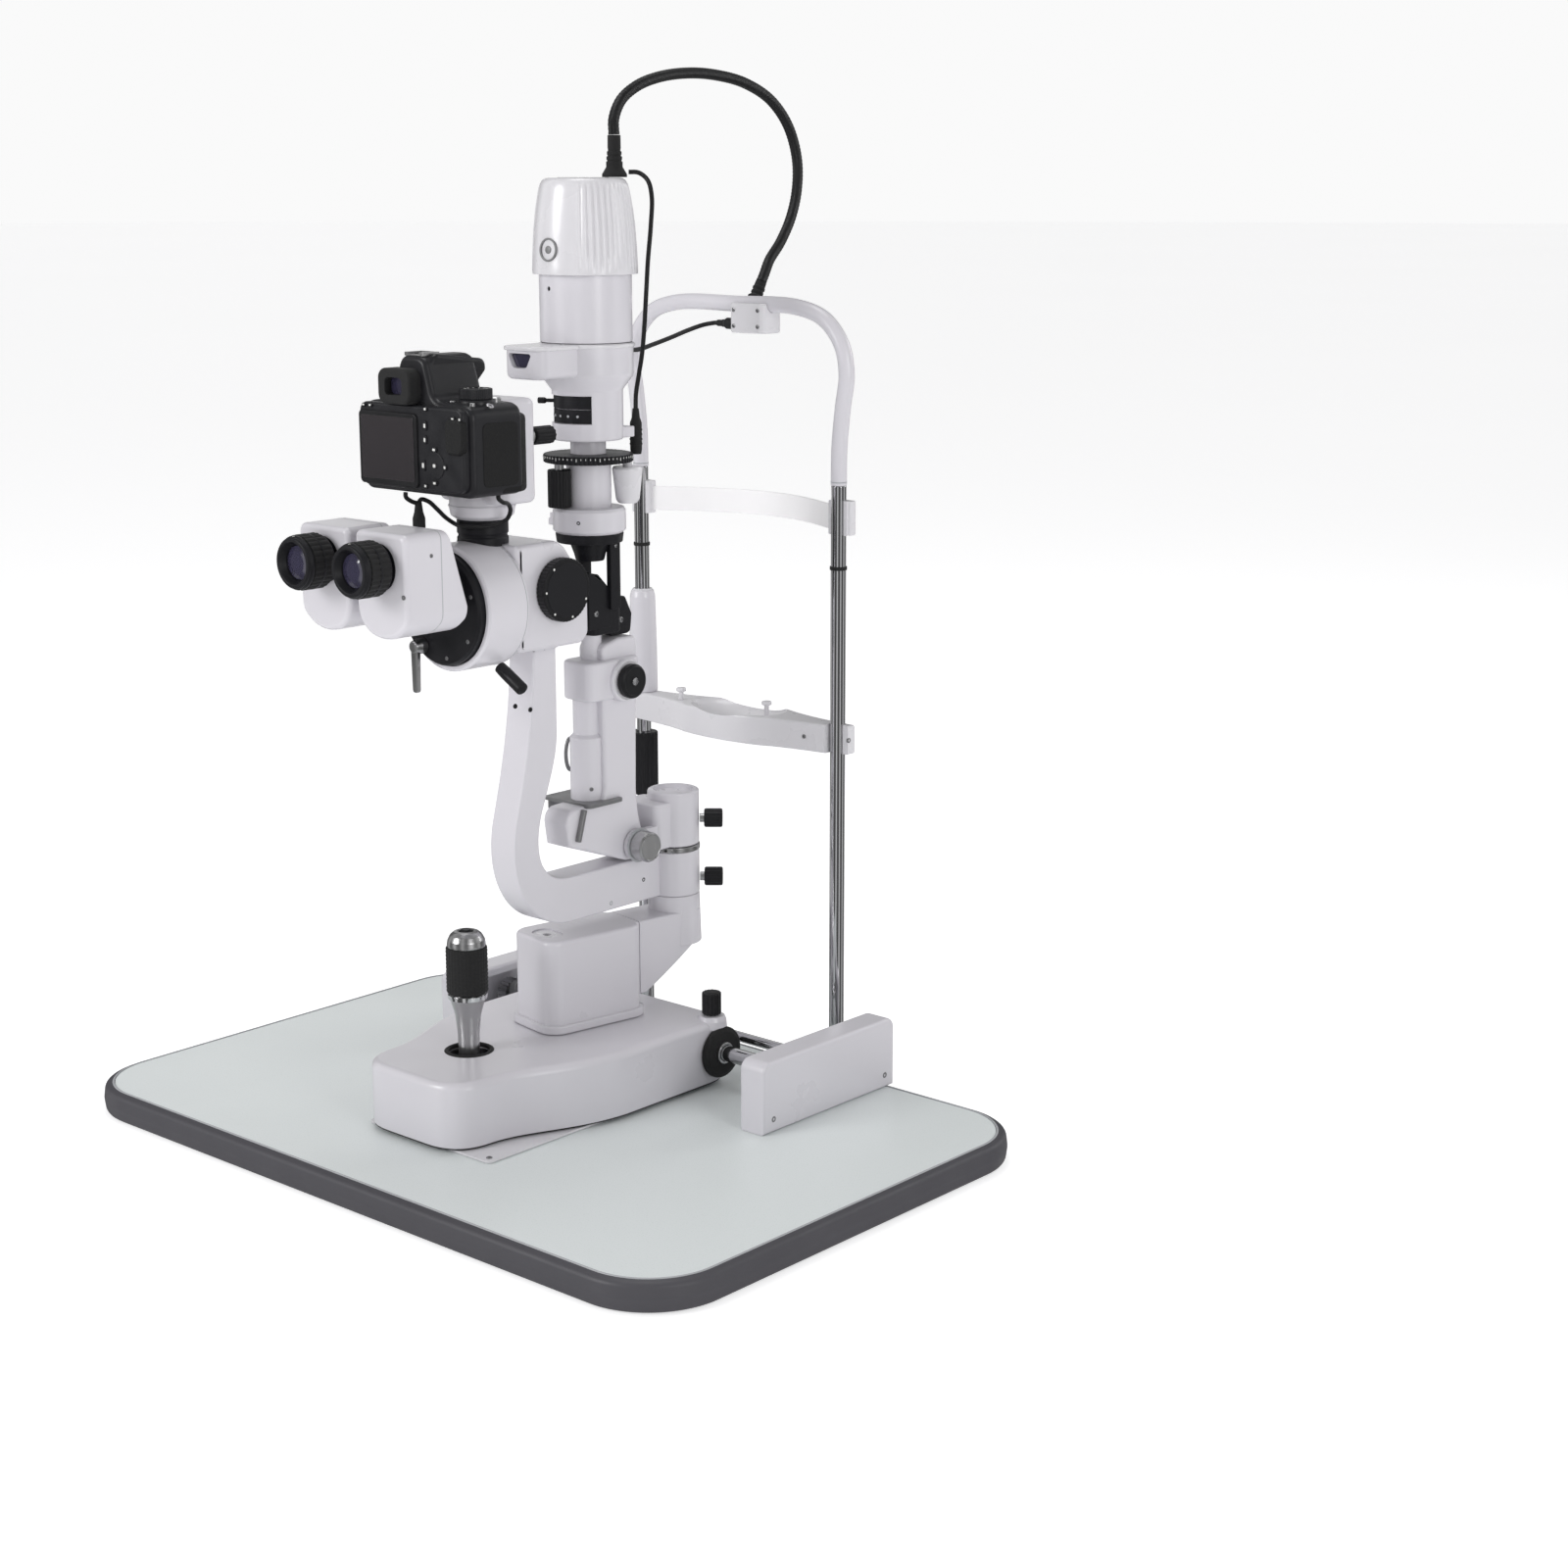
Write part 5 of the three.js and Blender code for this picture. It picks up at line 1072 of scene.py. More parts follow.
# ------------------------------------------------------------------ camera and its adapter
def adapter():
    at = (SCOPE_X, -48, 0)
    drum_hole = aimed(turned([(0, 40), (52.2, 40), (52.2, 95), (0, 95)], sides=112), (SCOPE_X, 0, SCOPE_Z),
                      -Y)
    tube_shape = [(0, 470), (21, 470), (21, 498, 0.8), (20, 499.4), (20, 500.6), (21, 502, 0.8), (21, 515),
                  (0, 515)]
    piece("adapter_tube", cut(turned(tube_shape, at), drum_hole, box(-60, 60, -46.3, 0, 400, 493.4)),
          "anodised", "microscope", "camera_adapter")
    bowl = [(0, 513.2), (21.5, 513.2, 1), (25.8, 516.4, 2.5), (27, 523, 3), (26.6, 530, 1), (26, 534),
            (0, 534)]
    piece("adapter_bowl", turned(bowl, at), "enamel", "microscope")
    ridge = [(26.9, 523), (27.5, 523.4, 0.3), (27.5, 524.6, 0.3), (26.9, 525), (26.9, 523)]
    piece("adapter_ridge", turned(ridge, at), "enamel", "microscope")
    piece("adapter_elbow", block(-44, 34, -66, -21, 527, 611, 12, 5), "enamel", "microscope")
    knob = aimed(slab(fluted(7.5, 0.6, 12), 6, 27, 1.4, steps=3), (20, -22, 579), Y)
    piece("adapter_knob", knob, "black", "microscope")
    collar = turned([(0, 0), (6.4, 0), (6.4, 3, 0.6), (4, 4, 0.4), (4, 6.4), (0, 6.4)], (20, -21.4, 579), Y,
                    40)
    piece("adapter_collar", collar, "satin", "microscope")
    ring = turned([(20, 0), (27, 0, 0.5), (27, 2.6, 0.5), (20, 2.6), (20, 0)], (SCOPE_X, -66.6, MOUNT_Z), Y)
    piece("lens_mount_ring", ring, "chrome", "microscope")


def camera():
    x0, x1, y0, y1, z0, z1 = -64, 65, -131, -69, 540, 612
    outline = (Outline(x0 + 8, z0).line((x1 - 10, z0)).quad(x1, z0, x1, z0 + 10).line((x1, z1 - 12))
               .quad(x1, z1, x1 - 14, z1).line((30, z1 + 1)).quad(22, z1 + 1, 19, z1 + 8).line((13, z1 + 29))
               .quad(10, z1 + 36, 0, z1 + 36).line((-8, z1 + 36)).quad(-16, z1 + 36, -19, z1 + 29)
               .line((-27, z1 + 8)).quad(-30, z1 + 1, -36, z1 + 1).line((x0 + 12, z1 - 1))
               .quad(x0, z1 - 2, x0, z1 - 14).line((x0, z0 + 8)).quad(x0, z0, x0 + 8, z0))
    shell = slab(outline, y0 + 9, y1 + 1, 4.5, axis="y", steps=5)
    mount = rod((SCOPE_X, y1 - 5, MOUNT_Z), (SCOPE_X, y1 + 8, MOUNT_Z), 28)
    well = rod((46, y1 - 11, z1 - 6), (46, y1 - 11, z1 + 8), 5.6)
    piece("camera_shell", cut(shell, mount, well), "camera", "microscope", "camera_body")

    back = slab(rectangle(-61, 61, z0 + 4, z1 - 2, 8), y0 + 3, y0 + 11, 0.0, 2.2, axis="y")
    piece("camera_back", back, "camera", "microscope")
    bezel = slab(rectangle(-60, 9, z0 + 5.5, z1 - 8.5, 4), y0 + 1.2, y0 + 4, 0, 1.0, axis="y")
    piece("camera_screen_frame", bezel, "black", "microscope")
    screen = slab(rectangle(-56.5, 5.5, z0 + 10, z1 - 12, 1.6), y0 + 0.7, y0 + 2, 0, 0.3, axis="y")
    piece("camera_screen", screen, "screen", "microscope")

    eyecup = cut(slab(rectangle(-31, 7, z1 - 2, z1 + 26, 8), y0 - 3, y0 + 12, 0, 2.4, axis="y"),
                 slab(rectangle(-22, -2, z1 + 5, z1 + 19, 4), y0 - 8, y0 + 5, axis="y"))
    piece("camera_eyecup", eyecup, "rubber", "microscope")
    piece("camera_finder", slab(rectangle(-21.6, -2.4, z1 + 5.4, z1 + 18.6, 3.6), y0 + 3.6, y0 + 5.4,
                                axis="y"), "glass", "microscope")
    flash = slab(rounded([(y0 + 14, z1 + 30, 5), (y0 + 20, z1 + 37.4, 6), (y1 + 11, z1 + 31, 8),
                          (y1 + 12, z1 + 22, 5), (y1 + 2, z1 + 12, 6), (y0 + 20, z1 + 10, 2)], steps=6),
                 -21, 13, 3.6, axis="x", steps=4)
    piece("camera_flash_hood", flash, "camera", "microscope")
    shoe = cut(block(-15, 7, y0 + 12, y0 + 30, z1 + 35.2, z1 + 38.2, 1, 0.3),
               block(-11, 3, y0 + 8, y0 + 28, z1 + 36.2, z1 + 40, 1))
    piece("camera_hot_shoe", shoe, "satin", "microscope")
    plinth = turned([(0, z1 - 4), (15, z1 - 4), (14.4, z1 + 2, 1.4), (12.4, z1 + 3.2, 0.6), (0, z1 + 3.2)],
                    (43, y0 + 34, 0))
    piece("camera_dial_plinth", plinth, "camera", "microscope")
    for name, x, y, r in (("camera_iso_button", 29, y0 + 22, 2.6), ("camera_lamp_button", 56, y0 + 18, 2.2)):
        piece(name, turned([(0, z1 - 1), (r, z1 - 1), (r, z1 + 1.6, 0.5), (0, z1 + 1.6)], (x, y, 0),
                           sides=28), "satin", "microscope")

    grip = slab(rounded([(36, y1 - 24, 6), (36, y1 + 2, 4), (44, y1 + 12, 9), (60, y1 + 10, 9),
                         (64.6, y1 - 2, 8), (64.6, y1 - 24, 6)], steps=7), z0 + 1.5, z1 - 9, 4, steps=4)
    piece("camera_grip", grip, "leatherette", "microscope")
    thumb = slab(rectangle(42, 62.5, z0 + 34, z1 - 10, 6), y0 + 0.4, y0 + 6, 0, 2.2, axis="y")
    piece("camera_thumb_rest", thumb, "leatherette", "microscope")
    side_skin = slab(rectangle(y0 + 20, y1 - 5, z0 + 8, z1 - 14, 5), x1 - 1.4, x1 + 0.5, 0.4, 0, axis="x")
    piece("camera_side_skin", side_skin, "leatherette", "microscope")
    left_skin = slab(rectangle(y0 + 16, y1 - 8, z0 + 6, z1 - 18, 5), x0 - 0.5, x0 + 1.4, 0, 0.4, axis="x")
    piece("camera_left_skin", left_skin, "leatherette", "microscope")
    flap = slab(rounded([(y0 + 27, z0 + 26, 3), (y0 + 41, z0 + 26, 3), (y0 + 41, z0 + 45, 3),
                         (y0 + 27, z0 + 45, 3)]), 0, 2, 0.5, axis="x")
    flap.transform(Matrix.Translation((x0 - 0.6, 0, 0)) @ Matrix.Translation((0, y0 + 41, 0))
                   @ Matrix.Rotation(math.radians(38), 4, "Z") @ Matrix.Translation((-1, -(y0 + 41), 0)))
    piece("camera_port_flap", flap, "rubber", "microscope")

    buttons = []
    places = [(19.5, 608, 2.0, 2.0), (18.5, 595, 2.0, 3.6), (18.2, 584, 1.8, 3.4), (15.5, 564, 2.2, 4.2),
              (28.5, 577, 2.8, 2.0), (28.5, 564.5, 2.8, 2.8), (40.5, 564, 1.8, 2.2), (28.2, 551, 2.8, 2.0),
              (17.5, 548, 2.0, 2.0), (51, 602, 2.4, 1.8), (59, 602, 1.8, 1.8), (-54, 607.5, 2.2, 1.5),
              (-46, 607.5, 2.2, 1.5)]
    for x, z, w, h in places:
        buttons.append(slab(rectangle(x - w, x + w, z - h, z + h, min(w, h) * 0.9, 5), y0 + 1.6, y0 + 4, 0,
                            0.6, axis="y"))
    piece("camera_buttons", joined(*buttons), "camera", "microscope")
    marks = []
    for x, z, w, h in places:
        marks.append(slab(rectangle(x - w * 0.5, x + w * 0.5, z - h * 0.45, z + h * 0.45, 0.4, 3),
                          y0 + 1.45, y0 + 1.7, axis="y"))
    piece("camera_button_marks", joined(*marks), "ink", "microscope")
    piece("camera_pad", rod((28.5, y0 + 2.2, 564.5), (28.5, y0 + 4, 564.5), 10.5, 11, 0.4), "camera",
          "microscope")
    lugs = [turned([(1.4, -0.6), (3.2, -0.6, 0.3), (3.2, 0.6, 0.3), (1.4, 0.6), (1.4, -0.6)],
                   (s * 62 + 1, y0 + 30, z1 - 1), (s * 0.5, 0, 1), 28) for s in (-1, 1)]
    piece("camera_strap_lugs", joined(*lugs), "chrome", "microscope")

    dial = Span("camera_mode_dial")
    wheel = cut(slab(fluted(13, 0.35, 48, 4), dial.z0, dial.z1, 0.8, 0.2, steps=3),
                rod((0, 0, dial.z1 - 0.6), (0, 0, dial.z1 + 2), 10.8))
    wheel.transform(Matrix.Translation((dial.cx, dial.cy, 0)))
    piece("mode_wheel", wheel, "camera", "mode_dial", "camera_mode_dial")
    ticks = []
    for k in range(12):
        tick = slab(rectangle(8.0, 10.0, -0.4, 0.4, 0.2, 2), dial.z1 - 0.65, dial.z1 - 0.35)
        tick.transform(Matrix.Translation((dial.cx, dial.cy, 0)) @ Matrix.Rotation(math.tau * k / 12, 4, "Z"))
        ticks.append(tick)
    piece("mode_wheel_ticks", joined(*ticks), "ink", "mode_dial")
    shutter = Span("camera_shutter_button")
    push = [(0, shutter.z0), (5, shutter.z0), (5, shutter.z1 - 1, 0.6), (3.6, shutter.z1, 1),
            (0, shutter.z1 - 0.5)]
    piece("shutter_push", turned(push, (shutter.cx, shutter.cy, 0), sides=48), "satin", "shutter",
          "camera_shutter_button")


# ------------------------------------------------------------------ lamp arm and tower
def lamp_arm():
    hub = rod((PIVOT_X, PIVOT_Y, 202.6), (PIVOT_X, PIVOT_Y, 252), PIVOT_R, soft=2.0)
    collar = block(-26, 18, 126, 156, 203, 244, 6, 2)
    ears = [welded(rod((a, TILT_Y, TILT_Z), (b, TILT_Y, TILT_Z), 13.5, soft=0.8),
                   box(a, b, TILT_Y, 128, TILT_Z - 9.5, TILT_Z + 12.5)) for a,
            b in ((-26, -20.2), (11, 17))]
    bore = rod((PIVOT_X, PIVOT_Y, 190), (PIVOT_X, PIVOT_Y, 260), 12.3)
    recess = turned([(0, 248.6), (17.5, 248.6), (18.6, 256), (0, 256)], (PIVOT_X, PIVOT_Y, 0))
    axle = rod((-40, TILT_Y, TILT_Z), (40, TILT_Y, TILT_Z), 5.3)
    piece("lamp_yoke", cut(welded(hub, collar, *ears), bore, recess, axle), "enamel", "lamp_arm", "lamp_arm")
    knob = Span("tilt_knob")
    head = [(0, 17.6), (12.2, 17.6, 0.5), (13.3, 19, 0.5), (13.3, 30, 1.6), (11.8, 32, 0.6), (11.0, 31.3),
            (0, 31.3)]
    piece("tilt_wheel", turned(head, (0, TILT_Y, TILT_Z), X, 84), "satin", "tilt_screw", "tilt_knob")
    pin = [(0, knob.x0), (6.9, knob.x0, 0.6), (6.9, -26.4), (5, -26.4), (5, 18), (0, 18)]
    piece("tilt_pin", turned(pin, (0, TILT_Y, TILT_Z), X, 48), "steel", "tilt_screw")
    washer = [(5.4, 17.05), (15.4, 17.05, 0.4), (15.4, 17.5), (5.4, 17.5), (5.4, 17.05)]
    piece("tilt_washer", turned(washer, (0, TILT_Y, TILT_Z), X), "bead", "lamp_arm")


def tower():
    shape = (Outline(70, 387).quad(70, 394, 77, 395).line((90, 398), (106, 398)).quad(112, 398, 112, 388)
             .line((110, 262)).quad(111, 236, 119, 218).line((118, 206)).quad(114, 199, 104, 199)
             .line((96, 199.5), (27, 224), (24, 244)).quad(25, 254, 33, 256).line((68, 258), (71, 270)))
    limb = slab(shape, -19.5, 10.3, 3.2, axis="x", steps=4)
    cross = block(-22, 16, 50, 112, 347, 381, 9, 3.2)
    boss = rod((8, CLAMP_Y, CLAMP_Z), (19.4, CLAMP_Y, CLAMP_Z), 19, 18.4, 1.4)
    tilt = rod((-40, TILT_Y, TILT_Z), (40, TILT_Y, TILT_Z), 5.3)
    lock = rod((0, CLAMP_Y, CLAMP_Z), (30, CLAMP_Y, CLAMP_Z), 4.3)
    piece("tower_limb", cut(welded(limb, cross, boss), tilt, lock), "enamel", "lamp_tower", "tower_casting")
    lower = [(0, 252), (14.5, 252), (14.5, 313, 1.6), (11.4, 316, 1.0), (11.4, 352), (0, 352)]
    piece("tower_post", turned(lower, (TOWER_X - 3, TOWER_Y - 5, 0)), "enamel", "lamp_tower")
    upper = [(0, 380), (9.0, 380), (9.0, 385, 1.0), (8.6, 386), (8.6, 402), (0, 402)]
    piece("tower_spigot", turned(upper, (TOWER_X, TOWER_Y, 0)), "enamel", "lamp_tower")
    plate = block(-42, 16, 46, 88, 255.4, 258.6, 4, 0.4)
    piece("tower_foot_plate", plate, "grey", "lamp_tower")
    tab = slab(rounded([(-42, 246, 1), (-40, 246, 1), (-38.5, 258.6, 2), (-42, 258.6, 1)]), 52, 66, 0.3,
               axis="y")
    piece("tower_foot_tab", tab, "grey", "lamp_tower")
    screws("tower_post_screw", "lamp_tower", [((TOWER_X + 9.4, TOWER_Y - 12.2, 269),
                                               Vector((0.87, -0.5, 0)), 1.8, 0.7)], "grey")
    rib = rod((12.4, 43, 255), (12.4, 35, 228), 2.6, soft=1)
    piece("latch_rod", rib, "grey", "lamp_tower")
    loop_line = [Vector((-23, 62 + 5.5 * math.cos(a), 296 + 14 * math.sin(a))) for a in
                 (math.tau * k / 40 for k in range(40))]
    loop = []
    for i, here in enumerate(loop_line):
        ahead = (loop_line[(i + 1) % 40] - loop_line[i - 1]).normalized()
        across = ahead.cross(X)
        loop.append([here + X * (1.7 * math.cos(math.tau * k / 12)) + across
                     * (1.7 * math.sin(math.tau * k / 12)) for k in range(12)])
    piece("latch_loop", skinned(loop, looped=True), "grey", "lamp_tower", corner=60)

    lock_head = [(0, 20.6), (13.8, 20.6, 0.5), (14.9, 22.2, 0.5), (14.9, 26.6, 1.0), (12.6, 28.4, 0.8),
                 (11.4, 27.6), (0, 27.6)]
    piece("tower_lock_wheel", turned(lock_head, (0, CLAMP_Y, CLAMP_Z), X), "black", "tower_lock",
          "tower_lock_knob")
    stud = turned([(0, 12), (4, 12), (4, 21), (0, 21)], (0, CLAMP_Y, CLAMP_Z), X, 32)
    piece("tower_lock_stud", stud, "steel", "tower_lock")
    centre = turned([(0, 27.2), (3.4, 27.2), (3.4, 28.8, 0.5), (0, 29.2)], (0, CLAMP_Y, CLAMP_Z), X, 32)
    piece("tower_lock_centre", centre, "steel", "tower_lock")
    rim = [(14.2, 18.8), (17.6, 18.8), (17.6, 20.2, 0.5), (16.2, 20.2, 0.4), (16.2, 19.6), (14.2, 19.6),
           (14.2, 18.8)]
    piece("tower_lock_rim", turned(rim, (0, CLAMP_Y, CLAMP_Z), X), "moulded", "lamp_tower")


def mirror_head():
    x, y = TOWER_X, TOWER_Y
    seat = block(x - 13, x + 13, 62, 98, 402.3, 428, 7, 2)
    tongue = slab(rounded([(86, 399, 3), (112, 399, 5), (114, 416, 4), (106, 432, 3), (90, 432, 3)]), x - 8,
                  x + 8, 1.4, axis="x")
    piece("mirror_seat", welded(seat, tongue), "anodised", "lamp_tower", "mirror_head")
    bars = [block(x0, x0 + 6, y0, y1, 424, 486, 1.4, 0.6) for x0, y0,
            y1 in ((x - 15, y - 3, y + 11), (x + 11, y + 8, y + 20))]
    piece("mirror_bars", joined(*bars), "anodised", "lamp_tower")
    cheek = rounded([(56.5, 408, 1), (84, 408), (84, 441, 2), (63.4, 455, 2), (56.5, 459, 2)])
    cheeks = [slab(cheek, x0, x0 + 5, 1, axis="x") for x0 in (x - 13.2, x + 8.2)]
    piece("mirror_cheeks", joined(*cheeks), "anodised", "lamp_tower")
    web = slab(rounded([(x - 15, 466, 1), (x - 9.2, 440, 2), (x - 9.2, 486), (x - 27, 486, 1)]), y - 1,
               y + 6, 0.6, axis="y")
    piece("mirror_web", web, "anodised", "lamp_tower")
    ring = [(9.2, 482), (28, 482, 0.6), (29, 489.7, 0.4), (9.2, 489.7), (9.2, 482)]
    piece("mirror_ring", turned(ring, (x, y, 0)), "anodised", "lamp_tower")
    barrel = [(9.2, 466), (12, 466, 0.6), (12.6, 468), (13.6, 472, 0.5), (16.6, 480, 1), (17, 482),
              (9.2, 482), (9.2, 466)]
    piece("mirror_barrel", turned(barrel, (x, y, 0)), "anodised", "lamp_tower")
    lens = [(0, 468), (9.1, 468), (9.1, 470), (0, 471.4)]
    piece("projection_lens", turned(lens, (x, y, 0), sides=56), "clear", "lamp_tower")
    mirror = block(-6, 6, -0.8, 0.8, -16, 16, 0.6, 0.3)
    mirror.transform(Matrix.Translation((x, y + 14, 442)) @ Matrix.Rotation(math.radians(45), 4, "X"))
    piece("slit_mirror", mirror, "chrome", "lamp_tower")
    screws("mirror_screws", "lamp_tower", [((x + 13.2, 65, 421.5), X, 2.6, 0.9),
                                           ((x + 8, 100, 412), X, 2.6, 0.9),
                                           ((x + 17, y + 14, 478), X, 1.6, 0.5)])


def slit():
    at = (TOWER_X, TOWER_Y, 0)
    lower = [(9.2, 490), (28, 490, 0.6), (31, 492.6, 1), (31, 509, 1.2), (29.4, 511.6, 0.8), (26, 512),
             (9.2, 512), (9.2, 490)]
    piece("slit_collar", turned(lower, at, sides=96), "enamel", "lamp_tower", "slit_unit")
    neck = [(9.2, 512), (19, 512), (19, 548, 1), (15, 549.2), (15, 568.2), (9.2, 568.2), (9.2, 512)]
    piece("slit_neck", turned(neck, at), "enamel", "lamp_tower")
    tab = block(-44, -30, 60, 74, 494, 500, 2.5, 0.8)
    step = block(-40, -28, 58, 76, 499, 505, 2.5, 0.8)
    piece("slit_tab", welded(tab, step), "enamel", "lamp_tower")
    screws("slit_collar_screw", "lamp_tower", [((TOWER_X + 30.8 * math.cos(a), TOWER_Y + 30.8 * math.sin(a),
                                                 501), (math.cos(a), math.sin(a), 0), 1.7, 0.4)
                                               for a in map(math.radians, (-62, 60))], "black")
    wheel = slab(fluted(38, 0.8, 60, 4), 549.8, 556.8, 1.0, steps=2)
    wheel = cut(wheel, rod((0, 0, 540), (0, 0, 570), 15.4))
    wheel.transform(Matrix.Translation(Vector(at)))
    piece("slit_disc", wheel, "anodised", "slit_plate", "slit_scale_plate")
    ticks = []
    for k in range(60):
        tall = 2.6 if k % 5 == 0 else 1.4
        tick = slab(rectangle(-0.3, 0.3, 555.4 - tall, 555.4, 0.1, 1), -38.35, -38.0, axis="y")
        tick.transform(Matrix.Translation(Vector(at)) @ Matrix.Rotation(math.tau * k / 60, 4, "Z"))
        ticks.append(tick)
    piece("slit_disc_scale", joined(*ticks), "ink", "slit_plate")

    angle = math.radians(259)
    x, y = TOWER_X + 29.5 * math.cos(angle), TOWER_Y + 29.5 * math.sin(angle)
    grip = slab(fluted(10, 0.6, 20), 513, 545, 1.4, steps=3)
    grip.transform(Matrix.Translation((x, y, 0)))
    piece("slit_width_grip", grip, "black", "slit_width", "slit_width_knob")
    stub = turned([(0, 544), (4, 544), (4, 549.6), (0, 549.6)], (x, y, 0), sides=32)
    piece("slit_width_stub", stub, "satin", "slit_width")
    angle = math.radians(52)
    x, y = TOWER_X + 33 * math.cos(angle), TOWER_Y + 33 * math.sin(angle)
    cone = [(0, 514), (8, 514, 1.2), (10, 517, 3), (13, 543, 1.6), (12, 545, 0.6), (4, 545), (4, 549.6),
            (0, 549.6)]
    piece("slit_height_cone", turned(cone, (x, y, 0)), "moulded", "slit_height", "slit_height_knob")


def lamp():
    x, y = TOWER_X, TOWER_Y
    at = (x, y, 0)
    cone = [(0, 568.6), (29, 568.6, 0.6), (30, 570, 0.6), (30, 583, 0.4), (26.6, 583), (26.6, 606.4),
            (30, 606.4, 0.4), (30, 610, 3), (38.6, 621.4, 2), (39.2, 624, 1), (39.2, 645, 0.6), (39, 647.6),
            (0, 647.6)]
    collar = turned(cone, at, sides=112)
    lobe = slab(rounded([(-27, 60), (17, 60), (17, -5, 12), (-27, -5, 12)], steps=8), 622, 647.4, 1.2, 5,
                steps=5)
    lug = block(0, 14, 90, 110.2, 569, 578, 3, 1)
    window = slab(rounded([(-19, 643.4, 2), (9, 643.4, 2), (3, 631.5, 5), (-13, 631.5, 5)], steps=6), -10,
                  0, axis="y")
    wall = turned([(28.9, 582), (30, 582), (30, 607), (28.9, 607), (28.9, 582)], at, sides=112)
    fan = [(x, y)] + [(x + 60 * math.cos(a), y + 60 * math.sin(a)) for a in
                      (math.radians(180 + 142 * k / 6) for k in range(7))]
    shell = cut(welded(collar, cut(wall, slab(fan, 583, 606.4)), lobe, lug), window)
    piece("lamp_collar", shell, "enamel", "lamp_tower", "lamp_housing")
    pane = slab(rounded([(-18.6, 643, 2), (8.6, 643, 2), (2.8, 631.9, 5), (-12.8, 631.9, 5)], steps=6),
                -1.0, 0.2, axis="y")
    piece("lamp_window", pane, "glass", "lamp_tower")
    rim_line = [(39.0, 645.8), (40.6, 645.8, 0.8), (40.6, 648.6, 1.2), (38.8, 649.4, 0.3), (38.0, 649.4),
                (38.0, 645.8), (39.0, 645.8)]
    piece("lamp_collar_rim", turned(rim_line, at, sides=112), "moulded", "lamp_tower")
    brow = cut(slab(rounded([(-29, 60), (19, 60), (19, -7, 13), (-29, -7, 13)], steps=8), 645.6, 649.2, 1.4,
                    1, steps=4), rod((x, y, 600), (x, y, 700), 38.7))
    piece("lamp_collar_brow", brow, "moulded", "lamp_tower")
    sleeve = [(34, 650), (38.6, 650, 0.4), (38.6, 712, 0.4), (34, 712), (34, 650)]
    body = turned(sleeve, at, sides=112)
    peep = rod((x - 4, y - 45, 694), (x - 4, y - 30, 694), 1.9)
    piece("lamp_sleeve", cut(body, peep), "enamel", "lamp_tower")
    piece("lamp_peephole", rod((x - 4, y - 37.6, 694), (x - 4, y - 35, 694), 2.1), "black", "lamp_tower")
    floor = [(0, 649.6), (36, 649.6), (36, 651), (0, 651)]
    piece("lamp_sleeve_floor", turned(floor, at), "enamel", "lamp_tower")
    bulb = [(0, 651.2), (8, 651.2, 0.6), (8, 662), (5.6, 664), (5.6, 672, 2), (3, 680, 2.4), (0, 681)]
    piece("lamp_bulb", turned(bulb, at, sides=40), "clear", "lamp_tower")

    band = [(26.7, 583.4), (28.2, 583.6, 0.2), (28.2, 594.6, 0.2), (26.7, 594.8), (26.7, 583.4)]
    piece("filter_scale", turned(band, at, sides=96), "anodised", "lamp_tower")
    dots = []
    for degrees in (226, 244, 262, 280, 298):
        a = math.radians(degrees)
        dot = turned([(0, 0), (1.1, 0), (1.1, 0.3, 0.1), (0, 0.3)], sides=24)
        dots.append(aimed(dot, (x + 28.1 * math.cos(a), y + 28.1 * math.sin(a), 589.4),
                          (math.cos(a), math.sin(a), 0)))
    piece("filter_dots", joined(*dots), "bead", "lamp_tower")
    ring = [(26.9, 595.4), (28.4, 595.4, 0.3), (28.4, 605.6, 0.3), (26.9, 605.8), (26.9, 595.4)]
    piece("filter_ring_band", turned(ring, at, sides=96), "anodised", "filter_ring", "filter_lever")
    a = math.radians(215)
    start = Vector((x + 28 * math.cos(a), y + 28 * math.sin(a), 600.5))
    out = Vector((math.cos(a), math.sin(a), 0))
    piece("filter_peg", aimed(turned([(0, 0), (1.6, 0), (1.6, 7), (2.6, 8.2, 0.8), (2.6, 14.2, 1),
                                      (0, 14.6)], sides=28), start, out), "black", "filter_ring")


